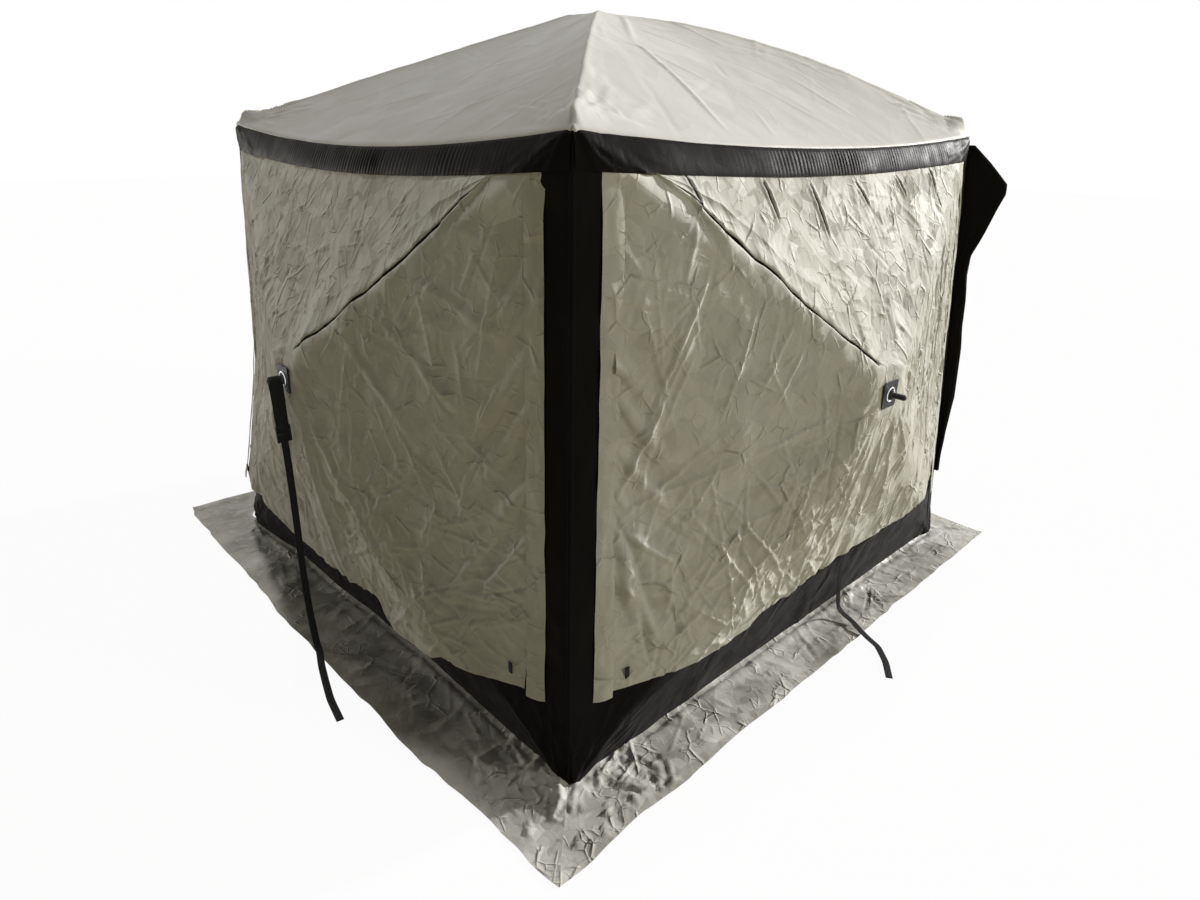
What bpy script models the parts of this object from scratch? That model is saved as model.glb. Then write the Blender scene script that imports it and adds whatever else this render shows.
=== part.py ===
"""Screen tent for one room of about 2.3 m square, held up by five snap-through hubs.

Each wall is an X of four fibreglass poles hinged to one moulded hub, which is pulled outwards
until the poles lock past the plane of the corners. A fifth hub lifts the roof. The cloth is
sewn as one skin: black borders, mesh screens, silver wind panels, a canopy and a ground skirt.
Frame: +Z up, origin on the ground at the middle of the tent, front wall facing -Y.
"""

import math

import bmesh
import bpy
from mathutils import Matrix, Vector

# Tent, overall
TOP_HALF = 1.05          # half width of a wall at the eaves
BASE_HALF = 1.17         # half width of a wall at the ground
EAVE_HEIGHT = 1.80       # height of the four top corners
PEAK_HEIGHT = 2.20       # height of the roof over its hub
ROOF_FLAT = 0.085        # half width of the flat top over the roof hub
ROOF_BOWS = (0.050, 0.064, 0.050, 0.004)  # rise of each ridge over its chord, from the front right round
EAVE_SAG = 0.055         # dip of the roof edge between two corners
HUB_HEIGHT = 1.03        # height of the wall hubs
WALL_BULGE = 0.29        # how far a wall hub stands outside the plane of its corners
HUB_FLAT = 0.052         # half height of the flat cloth over a wall hub

# Cloth
CLOTH = 0.0015           # thickness of each sewn layer
GAP = 0.0003             # clearance between two touching pieces
BAND_DEPTH = 0.084       # black band under the roof edge
CORNER_STRIP = 0.075     # black strip on each side of a corner
BASE_BAND = 0.340        # black opaque band above the ground
SEAM = 0.020             # overlap of a wind panel on the black border
PLACKET = 0.058          # width of the closing strip along a corner
PLACKET_END = 0.270      # height of the closing strip's lower end
HEM_HEIGHT = 0.290       # height of a wind panel's lower edge
SLIT_WIDTH = 0.008       # open slit between wind panel and closing strip
SLIT_TOP = 0.620         # height where that slit ends
SKIRT_WIDTH = 0.220      # ground skirt outside the wall
SKIRT_INSIDE = 0.050     # ground skirt under the wall and the corner boots
EDGE_STEPS = 8           # straight steps along a curved cloth edge
ROOF_RINGS = 6           # steps of the canopy from its flat top to its edge

# Poles
POLE_RADIUS = 0.005
FERRULE_RADIUS = 0.0062
FERRULE_LENGTH = 0.055
TIP_RADIUS = 0.0060
TIP_LENGTH = 0.030
EYE_RADIUS = 0.0080      # pole knuckle around its hinge pin
EYE_WIDTH = 0.0130
ROOF_POLE_LIFT = 0.012   # further rise of a roof pole, whose chord lies lower than its ridge
POLE_SIDES = 8
BOW_STEPS = 9            # straight steps along a bowed pole

# Hubs
HUB_RADIUS = 0.047
HUB_DEPTH = 0.024
PIN_CIRCLE = 0.033       # distance of the hinge pins from the hub's axis
PIN_DEPTH = 0.012        # depth of the hinge pins below the hub's outer face
PIN_RADIUS = 0.0030
PIN_SIDES = 8
BORE_SIDES = 10          # sides of the knuckle's hole
SLOT_WEB = 0.0028        # what is left of the outer face over a slot
NECK_RADIUS = 0.0085     # hub neck through the cloth
NECK_PLAY = 0.0012       # clearance of the neck in the cloth's eyelet
HUB_SIDES = 16

# Hub plates outside the cloth
PLATE_HALF = 0.044
PLATE_THICK = 0.0030
PLATE_CORNER = 0.008
RING_RADIUS = 0.0225
RING_TUBE = 0.0028
BOSS_RADIUS = 0.0175
BOSS_HEIGHT = 0.012
GRIP_RADIUS = 0.0095     # pull grip that stands out of the plate
GRIP_LENGTH = 0.052

# Corner boots
BOOT_DEPTH = 0.022       # distance of the boot's centre inside the two walls
BOOT_DROP = 0.030        # distance of a top boot's centre below the corner
BOOT_RISE = 0.026        # height of a bottom boot's centre
BOOT_RADIUS = 0.0315
SOCKET_FIT = 0.0030      # play of a pole in its socket
SOCKET_WALL = 0.0022
SOCKET_GRIP = 0.030      # length of pole held by its socket
TIP_CLEAR = 0.014        # what stays between a pole's tip and the boot's centre when folded flat
SOCKET_SIDES = 8

# Doorway in the back wall, next to the corner between the back and the right wall
DOOR_SIDE = 0.600        # distance of the doorway's inner side from the corner
DOOR_SILL = BASE_BAND + 0.040
DOOR_HEAD = EAVE_HEIGHT - 0.160  # height of the doorway at the corner strip
DOOR_SLANT = 0.62        # how far head and foot of the inner side are cut back, as a slope
DOOR_SILL_LENGTH = 0.24
LEAF_TIE_HEIGHT = DOOR_HEAD - 0.405  # height of the tie that holds the open door leaf
LEAF_TOP = EAVE_HEIGHT - 0.035
LEAF_END = 0.330
LEAF_SPREAD = 0.104      # how far the drawn back leaf stands out of the corner, along X and Y
SLIDER_SIZE = (0.010, 0.006, 0.030)

# Webbing
WEBBING_WIDTH = 0.025
WEBBING_THICK = 0.0016
LOOP_WIDTH = 0.038       # doubled webbing between hub grip and buckle
LOOP_THICK = 0.0034
EYELET_RADIUS = 0.0096   # eyelet of the doubled webbing round the grip
EYELET_REACH = 0.0275    # distance of that eyelet outside the hub's face
BUCKLE_SIZE = (0.050, 0.012, 0.058)
BUCKLE_WALL = 0.005

WALLS = ("front", "right", "back", "left")


def half_width(z):
    """Half width of the tent through its corners at height z."""
    return BASE_HALF + (TOP_HALF - BASE_HALF) * z / EAVE_HEIGHT


# A wall is a shallow four-sided pyramid. Each side of it is a linear function of the place
# (u, z) on the wall that is 0 on its own edge of the wall and 1 at the hub.
LEAN = (TOP_HALF - BASE_HALF) / EAVE_HEIGHT
HUB_HALF = half_width(HUB_HEIGHT)
FLAT_SHARE = HUB_FLAT / (EAVE_HEIGHT - HUB_HEIGHT)
APEX_BULGE = WALL_BULGE / (1.0 - FLAT_SHARE)
FACETS = {
    "right": (-1.0 / HUB_HALF, LEAN / HUB_HALF, BASE_HALF / HUB_HALF),
    "left": (1.0 / HUB_HALF, LEAN / HUB_HALF, BASE_HALF / HUB_HALF),
    "top": (0.0, -1.0 / (EAVE_HEIGHT - HUB_HEIGHT), EAVE_HEIGHT / (EAVE_HEIGHT - HUB_HEIGHT)),
    "bottom": (0.0, 1.0 / HUB_HEIGHT, 0.0),
}
RIDGES = (("right", "top"), ("left", "top"), ("right", "bottom"), ("left", "bottom"))


def linear(facet, u, z):
    a, b, c = facet
    return a * u + b * z + c


def bulge(u, z):
    """How far the wall's cloth stands out of the plane of its corners at (u, z)."""
    share = min(linear(facet, u, z) for facet in FACETS.values())
    return APEX_BULGE * min(share, 1.0 - FLAT_SHARE)


def eave(u):
    """Height of the roof's sagging edge at the place u along a wall."""
    return EAVE_HEIGHT - EAVE_SAG * (1.0 - (u / TOP_HALF) ** 2)


def wall_axes(k):
    """Directions along wall k, to the right as seen from outside, and out of it."""
    angle = k * math.pi / 2
    along = Vector((math.cos(angle), math.sin(angle), 0.0))
    out = Vector((math.sin(angle), -math.cos(angle), 0.0))
    return along, out


def wall_point(k, u, z, offset=0.0):
    along, out = wall_axes(k)
    return along * u + out * (half_width(z) + bulge(u, z) + offset) + Vector((0.0, 0.0, z))


# Scene, materials and solids

for old in list(bpy.data.objects):
    bpy.data.objects.remove(old, do_unlink=True)


def material(name, colour, roughness, metallic=0.0):
    made = bpy.data.materials.new(name)
    made.use_nodes = True
    made.diffuse_color = (*colour, 1.0)
    shader = made.node_tree.nodes["Principled BSDF"]
    shader.inputs["Base Color"].default_value = (*colour, 1.0)
    shader.inputs["Roughness"].default_value = roughness
    shader.inputs["Metallic"].default_value = metallic
    return made


SILVER_CLOTH = material("silver_cloth", (0.42, 0.41, 0.37), 0.45, 0.2)
BLACK_CLOTH = material("black_cloth", (0.022, 0.020, 0.019), 0.5)
BLACK_MESH = material("black_mesh", (0.03, 0.03, 0.03), 0.9)
FIBREGLASS = material("fibreglass", (0.05, 0.05, 0.05), 0.35)
MOULDED = material("moulded_black", (0.02, 0.02, 0.02), 0.4)
WEBBING = material("webbing", (0.012, 0.012, 0.012), 0.8)
ZIP_METAL = material("zip_metal", (0.35, 0.35, 0.34), 0.35, 0.9)


def link(name, mesh, finish, matrix=None):
    """Put a mesh in the scene as one named piece."""
    if not mesh.materials:
        mesh.materials.append(finish)
    piece = bpy.data.objects.new(name, mesh)
    if matrix is not None:
        piece.matrix_world = matrix
    bpy.context.scene.collection.objects.link(piece)
    return piece


def finished(bm, name, smooth_angle=None):
    """Turn a bmesh into a mesh with its faces pointing out."""
    bmesh.ops.recalc_face_normals(bm, faces=bm.faces)
    mesh = bpy.data.meshes.new(name)
    bm.to_mesh(mesh)
    bm.free()
    if smooth_angle is not None:
        mesh.shade_smooth()
        mesh.set_sharp_from_angle(angle=math.radians(smooth_angle))
    return mesh


def cut_shape(base, steps, name, smooth_angle=40.0):
    """Join solids to a base or cut them from it, one Boolean for each step."""
    subject = bpy.data.objects.new(name, base)
    bpy.context.scene.collection.objects.link(subject)
    tools = []
    for operation, mesh in steps:
        tool = bpy.data.objects.new(name + "_tool", mesh)
        tool.hide_render = True
        tool.display_type = "WIRE"
        bpy.context.scene.collection.objects.link(tool)
        modifier = subject.modifiers.new(operation.lower(), "BOOLEAN")
        modifier.operation = operation
        modifier.solver = "EXACT"
        modifier.object = tool
        tools.append(tool)
    bpy.context.view_layer.update()
    evaluated = subject.evaluated_get(bpy.context.evaluated_depsgraph_get())
    result = bpy.data.meshes.new_from_object(evaluated)
    for spare in (subject, *tools):
        bpy.data.objects.remove(spare, do_unlink=True)
    bm = bmesh.new()
    bm.from_mesh(result)
    bmesh.ops.remove_doubles(bm, verts=bm.verts, dist=1e-6)
    return finished(bm, name, smooth_angle)


def ring(bm, centre, side, up, radius_side, radius_up, count):
    """A loop of points round a centre, in the plane of two directions."""
    loop = []
    for i in range(count):
        angle = 2 * math.pi * (i + 0.5) / count
        place = centre + side * (radius_side * math.cos(angle)) + up * (radius_up * math.sin(angle))
        loop.append(bm.verts.new(place))
    return loop


def slot_ring(bm, centre, side, up, radius, half_travel, count):
    """A loop like a long hole: a circle drawn out by half_travel both ways along up."""
    loop = []
    for i in range(count):
        angle = 2 * math.pi * (i + 0.5) / count
        rise = radius * math.sin(angle)
        rise += math.copysign(half_travel, rise)
        loop.append(bm.verts.new(centre + side * (radius * math.cos(angle)) + up * rise))
    return loop


def loft(bm, loops):
    """Skin a row of loops with equal counts and close both ends."""
    for low, high in zip(loops, loops[1:]):
        count = len(low)
        for i in range(count):
            j = (i + 1) % count
            bm.faces.new((low[i], low[j], high[j], high[i]))
    bm.faces.new(list(reversed(loops[0])))
    bm.faces.new(loops[-1])


def rod(start, end, radius, count, name="rod", end_radius=None):
    """A cylinder or a cone between two points."""
    direction = (end - start).normalized()
    side = direction.orthogonal().normalized()
    up = direction.cross(side)
    bm = bmesh.new()
    last = radius if end_radius is None else end_radius
    low = ring(bm, start, side, up, radius, radius, count)
    high = ring(bm, end, side, up, last, last, count)
    loft(bm, [low, high])
    return finished(bm, name)


def turned(profile, count, name):
    """A solid turned round Z from (radius, height) pairs, both ends on the axis or capped."""
    bm = bmesh.new()
    side = Vector((1.0, 0.0, 0.0))
    up = Vector((0.0, 1.0, 0.0))
    loops = [ring(bm, Vector((0, 0, height)), side, up, radius, radius, count)
             for radius, height in profile]
    loft(bm, loops)
    return finished(bm, name)


def block(low, high, name="block"):
    bm = bmesh.new()
    centre = (Vector(low) + Vector(high)) / 2
    size = Vector(high) - Vector(low)
    bmesh.ops.create_cube(bm, size=1.0, matrix=Matrix.Translation(centre) @ Matrix.Diagonal((*size, 1.0)))
    return finished(bm, name)


# Cloth pieces of a wall

def circle(centre, radius, count=12):
    return [(centre[0] + radius * math.cos(2 * math.pi * i / count),
             centre[1] + radius * math.sin(2 * math.pi * i / count)) for i in range(count)]


def fill_outline(outline, holes):
    """A flat mesh in (u, z) inside an outline and outside its holes."""
    bm = bmesh.new()
    edges = []
    for loop in (outline, *holes):
        points = [bm.verts.new((u, z, 0.0)) for u, z in loop]
        for i, point in enumerate(points):
            edges.append(bm.edges.new((point, points[(i + 1) % len(points)])))
    bmesh.ops.triangle_fill(bm, use_beauty=True, use_dissolve=False, edges=edges)
    return bm


def split_along(bm, line, faces):
    """Cut some faces of a flat mesh in (u, z) along the line where a function is zero."""
    a, b, c = line
    normal = Vector((a, b, 0.0))
    on_line = normal * (-c / normal.length_squared)
    parts = set(faces)
    for face in faces:
        parts.update(face.edges)
        parts.update(face.verts)
    bmesh.ops.bisect_plane(bm, geom=list(parts), plane_co=on_line, plane_no=normal, dist=1e-7)


def crease(bm):
    """Cut a flat wall piece along the ridges and round the flat at the hub."""
    for first, second in RIDGES:
        side = 1.0 if first == "right" else -1.0
        level = 1.0 if second == "top" else -1.0
        quarter = [face for face in bm.faces
                   if max(side * vertex.co.x for vertex in face.verts) > 0.0
                   and max(level * (vertex.co.y - HUB_HEIGHT) for vertex in face.verts) > 0.0]
        split_along(bm, [p - q for p, q in zip(FACETS[first], FACETS[second])], quarter)
    for name, (a, b, c) in FACETS.items():
        mine = [face for face in bm.faces if lowest_facet(face.calc_center_median()) == name]
        split_along(bm, (a, b, c - (1.0 - FLAT_SHARE)), mine)


def lowest_facet(place):
    """Name of the wall's facet that the place (u, z) lies on."""
    return min(FACETS, key=lambda name: linear(FACETS[name], place.x, place.y))


def thicken(bm, place, name):
    """Give a flat mesh two faces and a rim. place(vertex, side) is called with side 0 and 1."""
    solid = bmesh.new()
    sheets = []
    bm.verts.ensure_lookup_table()
    for side in (0, 1):
        sheets.append([solid.verts.new(place(vertex.co, side)) for vertex in bm.verts])
    for face in bm.faces:
        order = [vertex.index for vertex in face.verts]
        solid.faces.new([sheets[1][i] for i in order])
        solid.faces.new([sheets[0][i] for i in reversed(order)])
    for edge in bm.edges:
        if len(edge.link_faces) == 1:
            a, b = (vertex.index for vertex in edge.verts)
            solid.faces.new((sheets[0][a], sheets[0][b], sheets[1][b], sheets[1][a]))
    bm.free()
    return finished(solid, name)


def wall_cloth(k, name, outline, holes, offset, finish):
    """One sewn layer of wall k, its inner face at the given offset from the wall."""
    bm = fill_outline(outline, holes)
    crease(bm)
    bm.verts.index_update()

    def place(co, side):
        return wall_point(k, co.x, co.y, offset + side * CLOTH)

    return link(name, thicken(bm, place, name), finish)


def row(low, high, height, inset=0.0):
    """Points along a curved cloth edge from u = low to u = high; height(u) gives its height."""
    places = [low + (high - low) * i / EDGE_STEPS for i in range(EDGE_STEPS + 1)]
    return [(u, height(u) - inset) for u in places]


def side_u(z, inset):
    """Place u of a line parallel to a wall's right edge."""
    return half_width(z) - inset


SHELL_IN = -CLOTH / 2
PANEL_IN = CLOTH / 2 + GAP
FOOT = CLOTH + GAP
EDGE_INSET = CLOTH / 2 + GAP + CLOTH * WALL_BULGE / HUB_HALF
WINDOW_SIDE = CORNER_STRIP + SEAM
WINDOW_TOP = BAND_DEPTH + SEAM
HOLE = circle((0.0, HUB_HEIGHT), NECK_RADIUS + NECK_PLAY)


def top_edge(inset_side, inset_top):
    """Upper edge of a wall piece, from its right end to its left end."""
    reach = TOP_HALF
    for _ in range(8):
        reach = side_u(eave(reach) - inset_top, inset_side)
    return row(reach, -reach, eave, inset_top)


def frame_outline(inset_side, inset_top, bottom):
    low = side_u(bottom, inset_side)
    return [(-low, bottom), (low, bottom)] + top_edge(inset_side, inset_top)


def make_border(k):
    """Black border of a wall: band under the roof, two corner strips and base band in one."""
    outline = frame_outline(EDGE_INSET, 0.0, FOOT)
    window = frame_outline(WINDOW_SIDE, WINDOW_TOP, BASE_BAND)
    wall_cloth(k, WALLS[k] + "_border", outline, [window], SHELL_IN, BLACK_CLOTH)


def make_screen(k):
    """Mesh screen of a wall, sewn into the window of its border."""
    outline = frame_outline(WINDOW_SIDE + GAP, WINDOW_TOP + GAP, BASE_BAND + GAP)
    if WALLS[k] == "back":
        outline = with_doorway(outline)
    wall_cloth(k, WALLS[k] + "_screen", outline, [HOLE], SHELL_IN, BLACK_MESH)


def door_corners():
    """The doorway in (u, z) of the back wall, where its own left edge is the open corner."""
    side = -side_u(HUB_HEIGHT, DOOR_SIDE)
    head = DOOR_HEAD - DOOR_SLANT * (DOOR_SIDE - WINDOW_SIDE)
    foot = DOOR_SILL + DOOR_SLANT * (DOOR_SIDE - WINDOW_SIDE)
    return {
        "sill_out": (-side_u(DOOR_SILL, WINDOW_SIDE + GAP), DOOR_SILL),
        "sill_in": (-side_u(DOOR_SILL, WINDOW_SIDE + DOOR_SILL_LENGTH), DOOR_SILL),
        "side_low": (side, foot),
        "side_high": (side, head),
        "head_out": (-side_u(DOOR_HEAD, WINDOW_SIDE + GAP), DOOR_HEAD),
    }


def with_doorway(outline):
    """Take the doorway out of the screen's outline, which ends at its upper left corner."""
    corners = door_corners()
    order = ("head_out", "side_high", "side_low", "sill_in", "sill_out")
    return outline + [corners[name] for name in order]


def make_wind_panel(k):
    """Silver wind panel with a closing strip down each corner, slit open at the bottom."""
    inset = CORNER_STRIP
    strip = inset + PLACKET
    tip = strip + SLIT_WIDTH
    right = [
        (side_u(HEM_HEIGHT, tip), HEM_HEIGHT),
        (side_u(SLIT_TOP, tip), SLIT_TOP),
        (side_u(SLIT_TOP, strip), SLIT_TOP),
        (side_u(PLACKET_END, strip), PLACKET_END),
        (side_u(PLACKET_END, inset), PLACKET_END),
    ]
    left = [(-u, z) for u, z in reversed(right)]
    outline = left + right + top_edge(inset, BAND_DEPTH)
    wall_cloth(k, WALLS[k] + "_wind_panel", outline, [HOLE], PANEL_IN, SILVER_CLOTH)


def make_canopy():
    """Roof cloth: four panels that meet on bowed ridges and sag to their edges."""
    bm = bmesh.new()
    flat = ROOF_FLAT / TOP_HALF
    shares = [flat + (1.0 - flat) * i / ROOF_RINGS for i in range(ROOF_RINGS + 1)]
    places = [-1.0 + 2.0 * i / EDGE_STEPS for i in range(EDGE_STEPS)]
    loops = []
    for share in shares:
        loop = []
        for k in range(4):
            for q in places:
                loop.append(bm.verts.new(canopy_point(k, q, share)))
        loops.append(loop)
    for low, high in zip(loops, loops[1:]):
        for i in range(len(low)):
            j = (i + 1) % len(low)
            bm.faces.new((low[i], high[i], high[j], low[j]))
    bm.faces.new(loops[0])
    bm.verts.index_update()

    def place(co, side):
        return co + Vector((0.0, 0.0, side * CLOTH))

    return link("canopy", thicken(bm, place, "canopy"), SILVER_CLOTH)


def ridge_height(share, bow):
    """Height of a roof ridge at a share of the way from the middle to a corner."""
    flat = ROOF_FLAT / TOP_HALF
    way = (share - flat) / (1.0 - flat)
    return PEAK_HEIGHT + (EAVE_HEIGHT - PEAK_HEIGHT) * way + bow * 4 * way * (1 - way)


def canopy_point(k, q, share):
    """Point under the canopy over wall k; q runs from -1 to 1 between its two corners."""
    along, out = wall_axes(k)
    u = q * TOP_HALF
    flat = ROOF_FLAT / TOP_HALF
    way = (share - flat) / (1.0 - flat)
    rim = half_width(eave(u)) + bulge(u, eave(u)) + CLOTH / 2 - TOP_HALF
    sag = EAVE_SAG * way ** 1.5 * (1.0 - q * q)
    bow = ROOF_BOWS[k - 1] + (ROOF_BOWS[k] - ROOF_BOWS[k - 1]) * (q + 1) / 2
    reach = share * TOP_HALF + rim * way ** 2
    place = along * (q * share * (TOP_HALF + CLOTH / 2)) + out * reach
    return place + Vector((0.0, 0.0, ridge_height(share, bow) - sag + GAP))


def make_skirt(k):
    """Ground skirt along wall k, mitred at both corners."""
    bm = bmesh.new()
    low = BASE_HALF - SKIRT_INSIDE
    high = BASE_HALF + SKIRT_WIDTH
    for u, z in ((-low + GAP, low), (low - GAP, low), (high - GAP, high), (-high + GAP, high)):
        bm.verts.new((u, z, 0.0))
    bm.faces.new(bm.verts)
    bm.verts.index_update()
    along, out = wall_axes(k)

    def place(co, side):
        return along * co.x + out * co.y + Vector((0.0, 0.0, side * CLOTH))

    link(WALLS[k] + "_skirt", thicken(bm, place, "skirt"), SILVER_CLOTH)


# Frame of hubs, poles and corner boots

def boot_centre(corner, top):
    """Point where the poles of one corner meet. Corner c is the right end of wall c."""
    height = EAVE_HEIGHT - BOOT_DROP if top else BOOT_RISE
    inside = half_width(height) - BOOT_DEPTH
    along, out = wall_axes(corner)
    return along * inside + out * inside + Vector((0.0, 0.0, height))


class Hub:
    """Place of one hub and of the four poles hinged to it."""

    def __init__(self, name, face, out, targets, bows):
        self.name = name
        self.out = out
        self.face = face
        self.poles = {}
        for (label, target), bow in zip(targets.items(), bows):
            reach = target - face
            flat = (reach - out * reach.dot(out)).normalized()
            pin = face + flat * PIN_CIRCLE - out * PIN_DEPTH
            run = (target - pin).dot(flat)
            fall = -(target - pin).dot(out)
            slack = math.hypot(run, fall) - run
            length = math.hypot(run, fall) - (slack + TIP_CLEAR)
            self.poles[label] = {
                "flat": flat, "pin": pin, "run": run, "fall": fall, "length": length,
                "angle": math.atan2(fall, run), "target": target, "bow": bow,
            }
        self.travel = min(pole["fall"] for pole in self.poles.values())


def wall_hub(k):
    """Hub of wall k, which slides square to the plane through the four boot centres."""
    along, out = wall_axes(k)
    low = boot_centre(k, False)
    high = boot_centre(k, True)
    slope = (high - low).dot(out) / (high - low).z
    normal = (out - Vector((0.0, 0.0, slope))).normalized()
    face = wall_point(k, 0.0, HUB_HEIGHT, SHELL_IN - GAP)
    last = (k - 1) % 4
    targets = {
        "top_right": boot_centre(k, True), "top_left": boot_centre(last, True),
        "bottom_right": low, "bottom_left": boot_centre(last, False),
    }
    return Hub(WALLS[k], face, normal, targets, (0.0, 0.0, 0.0, 0.0))


def roof_hub():
    face = Vector((0.0, 0.0, PEAK_HEIGHT))
    labels = ("front_right", "back_right", "back_left", "front_left")
    targets = {label: boot_centre(corner, True) for corner, label in enumerate(labels)}
    bows = [bow + ROOF_POLE_LIFT for bow in ROOF_BOWS]
    return Hub("roof", face, Vector((0.0, 0.0, 1.0)), targets, bows)


def pole_point(chord, bow, distance):
    """Centre of a pole at a distance along its chord, and its direction there, in X and Z."""
    way = distance / chord
    rise = bow * 4 * way * (1 - way)
    slope = bow * 4 * (1 - 2 * way) / chord
    return Vector((distance, 0.0, rise)), Vector((1.0, 0.0, slope)).normalized()


def pole_mesh(length, chord, bow, name):
    """A pole along X with its knuckle's hole on the Y axis."""
    bm = bmesh.new()
    shaft_end = length - TIP_LENGTH
    stations = [(0.002, FERRULE_RADIUS), (FERRULE_LENGTH, FERRULE_RADIUS),
                (FERRULE_LENGTH + 0.003, POLE_RADIUS)]
    steps = BOW_STEPS if bow else 1
    for i in range(1, steps):
        stations.append((FERRULE_LENGTH + (shaft_end - FERRULE_LENGTH) * i / steps, POLE_RADIUS))
    stations += [(shaft_end, POLE_RADIUS), (shaft_end + 0.001, TIP_RADIUS),
                 (length, TIP_RADIUS * 0.7)]
    loops = []
    side = Vector((0.0, 1.0, 0.0))
    for distance, radius in stations:
        centre, direction = pole_point(chord, bow, distance)
        up = direction.cross(side)
        loops.append(ring(bm, centre, side, up, radius, radius, POLE_SIDES))
    loft(bm, loops)
    half = Vector((0.0, EYE_WIDTH / 2, 0.0))
    eye = rod(-half, half, EYE_RADIUS, BORE_SIDES)
    clear = (PIN_RADIUS + GAP) / math.cos(math.pi / BORE_SIDES)
    bore = rod(-half * 2, half * 2, clear, BORE_SIDES)
    return cut_shape(finished(bm, name), [("UNION", eye), ("DIFFERENCE", bore)], name)


def make_poles(hub):
    meshes = {}
    for label, pole in hub.poles.items():
        kind = label.split("_")[0] if hub.name != "roof" else label
        chord = math.hypot(pole["run"], pole["fall"])
        if kind not in meshes:
            meshes[kind] = pole_mesh(pole["length"], chord, pole["bow"], kind + "_pole")
        direction = pole["flat"] * math.cos(pole["angle"]) - hub.out * math.sin(pole["angle"])
        rise = pole["flat"] * math.sin(pole["angle"]) + hub.out * math.cos(pole["angle"])
        side = rise.cross(direction)
        turn = Matrix((direction, side, rise)).transposed().to_4x4()
        matrix = Matrix.Translation(pole["pin"]) @ turn
        link(hub.name + "_pole_" + label, meshes[kind], FIBREGLASS, matrix)


def hub_frame(hub):
    """World matrix with Z out of the hub and its origin on the hub's outer face."""
    side = Vector((0.0, 0.0, 1.0)) if abs(hub.out.z) < 0.5 else Vector((0.0, 1.0, 0.0))
    across = side.cross(hub.out).normalized()
    up = hub.out.cross(across)
    turn = Matrix((across, up, hub.out)).transposed().to_4x4()
    return Matrix.Translation(hub.face) @ turn


def make_hub(hub):
    """Moulded hub: a dished disc with four clevis slots, a pin across each, and a neck."""
    frame = hub_frame(hub)
    inverse = frame.inverted()
    chamfer = HUB_DEPTH * 0.12
    dish = HUB_RADIUS * 0.55
    profile = [(dish * 0.8, -HUB_DEPTH * 1.2), (dish, -HUB_DEPTH),
               (HUB_RADIUS - chamfer, -HUB_DEPTH), (HUB_RADIUS, -HUB_DEPTH + chamfer),
               (HUB_RADIUS, 0.0)]
    if hub.name != "roof":
        profile += [(NECK_RADIUS, 0.0), (NECK_RADIUS, neck_height())]
    steps = []
    slot_half = EYE_WIDTH / 2 + GAP
    slot_start = PIN_CIRCLE - EYE_RADIUS - 2 * GAP
    pins = []
    for pole in hub.poles.values():
        flat = (inverse.to_3x3() @ pole["flat"]).normalized()
        turn = Matrix.Rotation(math.atan2(flat.y, flat.x), 4, "Z")
        slot = block((slot_start, -slot_half, -HUB_DEPTH * 1.5),
                     (HUB_RADIUS * 1.2, slot_half, -SLOT_WEB))
        slot.transform(turn)
        steps.append(("DIFFERENCE", slot))
        pin_half = Vector((0.0, slot_half + 0.003, 0.0))
        centre = Vector((PIN_CIRCLE, 0.0, -PIN_DEPTH))
        pin = rod(centre - pin_half, centre + pin_half, PIN_RADIUS, PIN_SIDES)
        pin.transform(turn)
        pins.append(("UNION", pin))
    mesh = cut_shape(turned(profile, HUB_SIDES, "hub"), steps + pins, hub.name + "_hub")
    link(hub.name + "_hub", mesh, MOULDED, frame)


def plate_seat():
    """Height of a hub plate's inner face over the hub's outer face."""
    return 2 * CLOTH + 3 * GAP


def neck_height():
    return plate_seat() + PLATE_THICK


def make_hub_plate(hub):
    """Square plate outside the cloth, with a raised ring and a pull grip on a round boss."""
    seat = plate_seat()
    top = seat + PLATE_THICK
    bm = bmesh.new()
    bmesh.ops.create_cube(bm, size=1.0)
    bmesh.ops.scale(bm, vec=(2 * PLATE_HALF, 2 * PLATE_HALF, PLATE_THICK), verts=bm.verts)
    bmesh.ops.translate(bm, vec=(0.0, 0.0, seat + PLATE_THICK / 2), verts=bm.verts)
    upright = [edge for edge in bm.edges if abs(edge.verts[0].co.z - edge.verts[1].co.z) > 1e-4]
    bmesh.ops.bevel(bm, geom=upright, offset=PLATE_CORNER, segments=2, profile=0.5,
                    affect="EDGES")
    plate = finished(bm, "plate")
    washer = turned([(RING_RADIUS, top - 0.001), (RING_RADIUS + RING_TUBE, top),
                     (RING_RADIUS + RING_TUBE * 0.7, top + RING_TUBE),
                     (RING_RADIUS - RING_TUBE * 0.7, top + RING_TUBE),
                     (RING_RADIUS - RING_TUBE, top)], 12, "washer")
    boss = turned([(BOSS_RADIUS, top - 0.001), (BOSS_RADIUS, top + BOSS_HEIGHT * 0.6),
                   (BOSS_RADIUS * 0.8, top + BOSS_HEIGHT), (GRIP_RADIUS, top + BOSS_HEIGHT * 1.1),
                   (GRIP_RADIUS * 0.85, top + GRIP_LENGTH * 0.5),
                   (GRIP_RADIUS, top + GRIP_LENGTH * 0.9),
                   (GRIP_RADIUS * 0.6, top + GRIP_LENGTH)], 10, "boss")
    bore = turned([(NECK_RADIUS + NECK_PLAY, seat - 0.002), (NECK_RADIUS + NECK_PLAY, top + GAP)], 12, "bore")
    steps = [("UNION", washer), ("UNION", boss), ("DIFFERENCE", bore)]
    mesh = cut_shape(plate, steps, hub.name + "_hub_plate")
    link(hub.name + "_hub_plate", mesh, MOULDED, hub_frame(hub))


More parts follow.
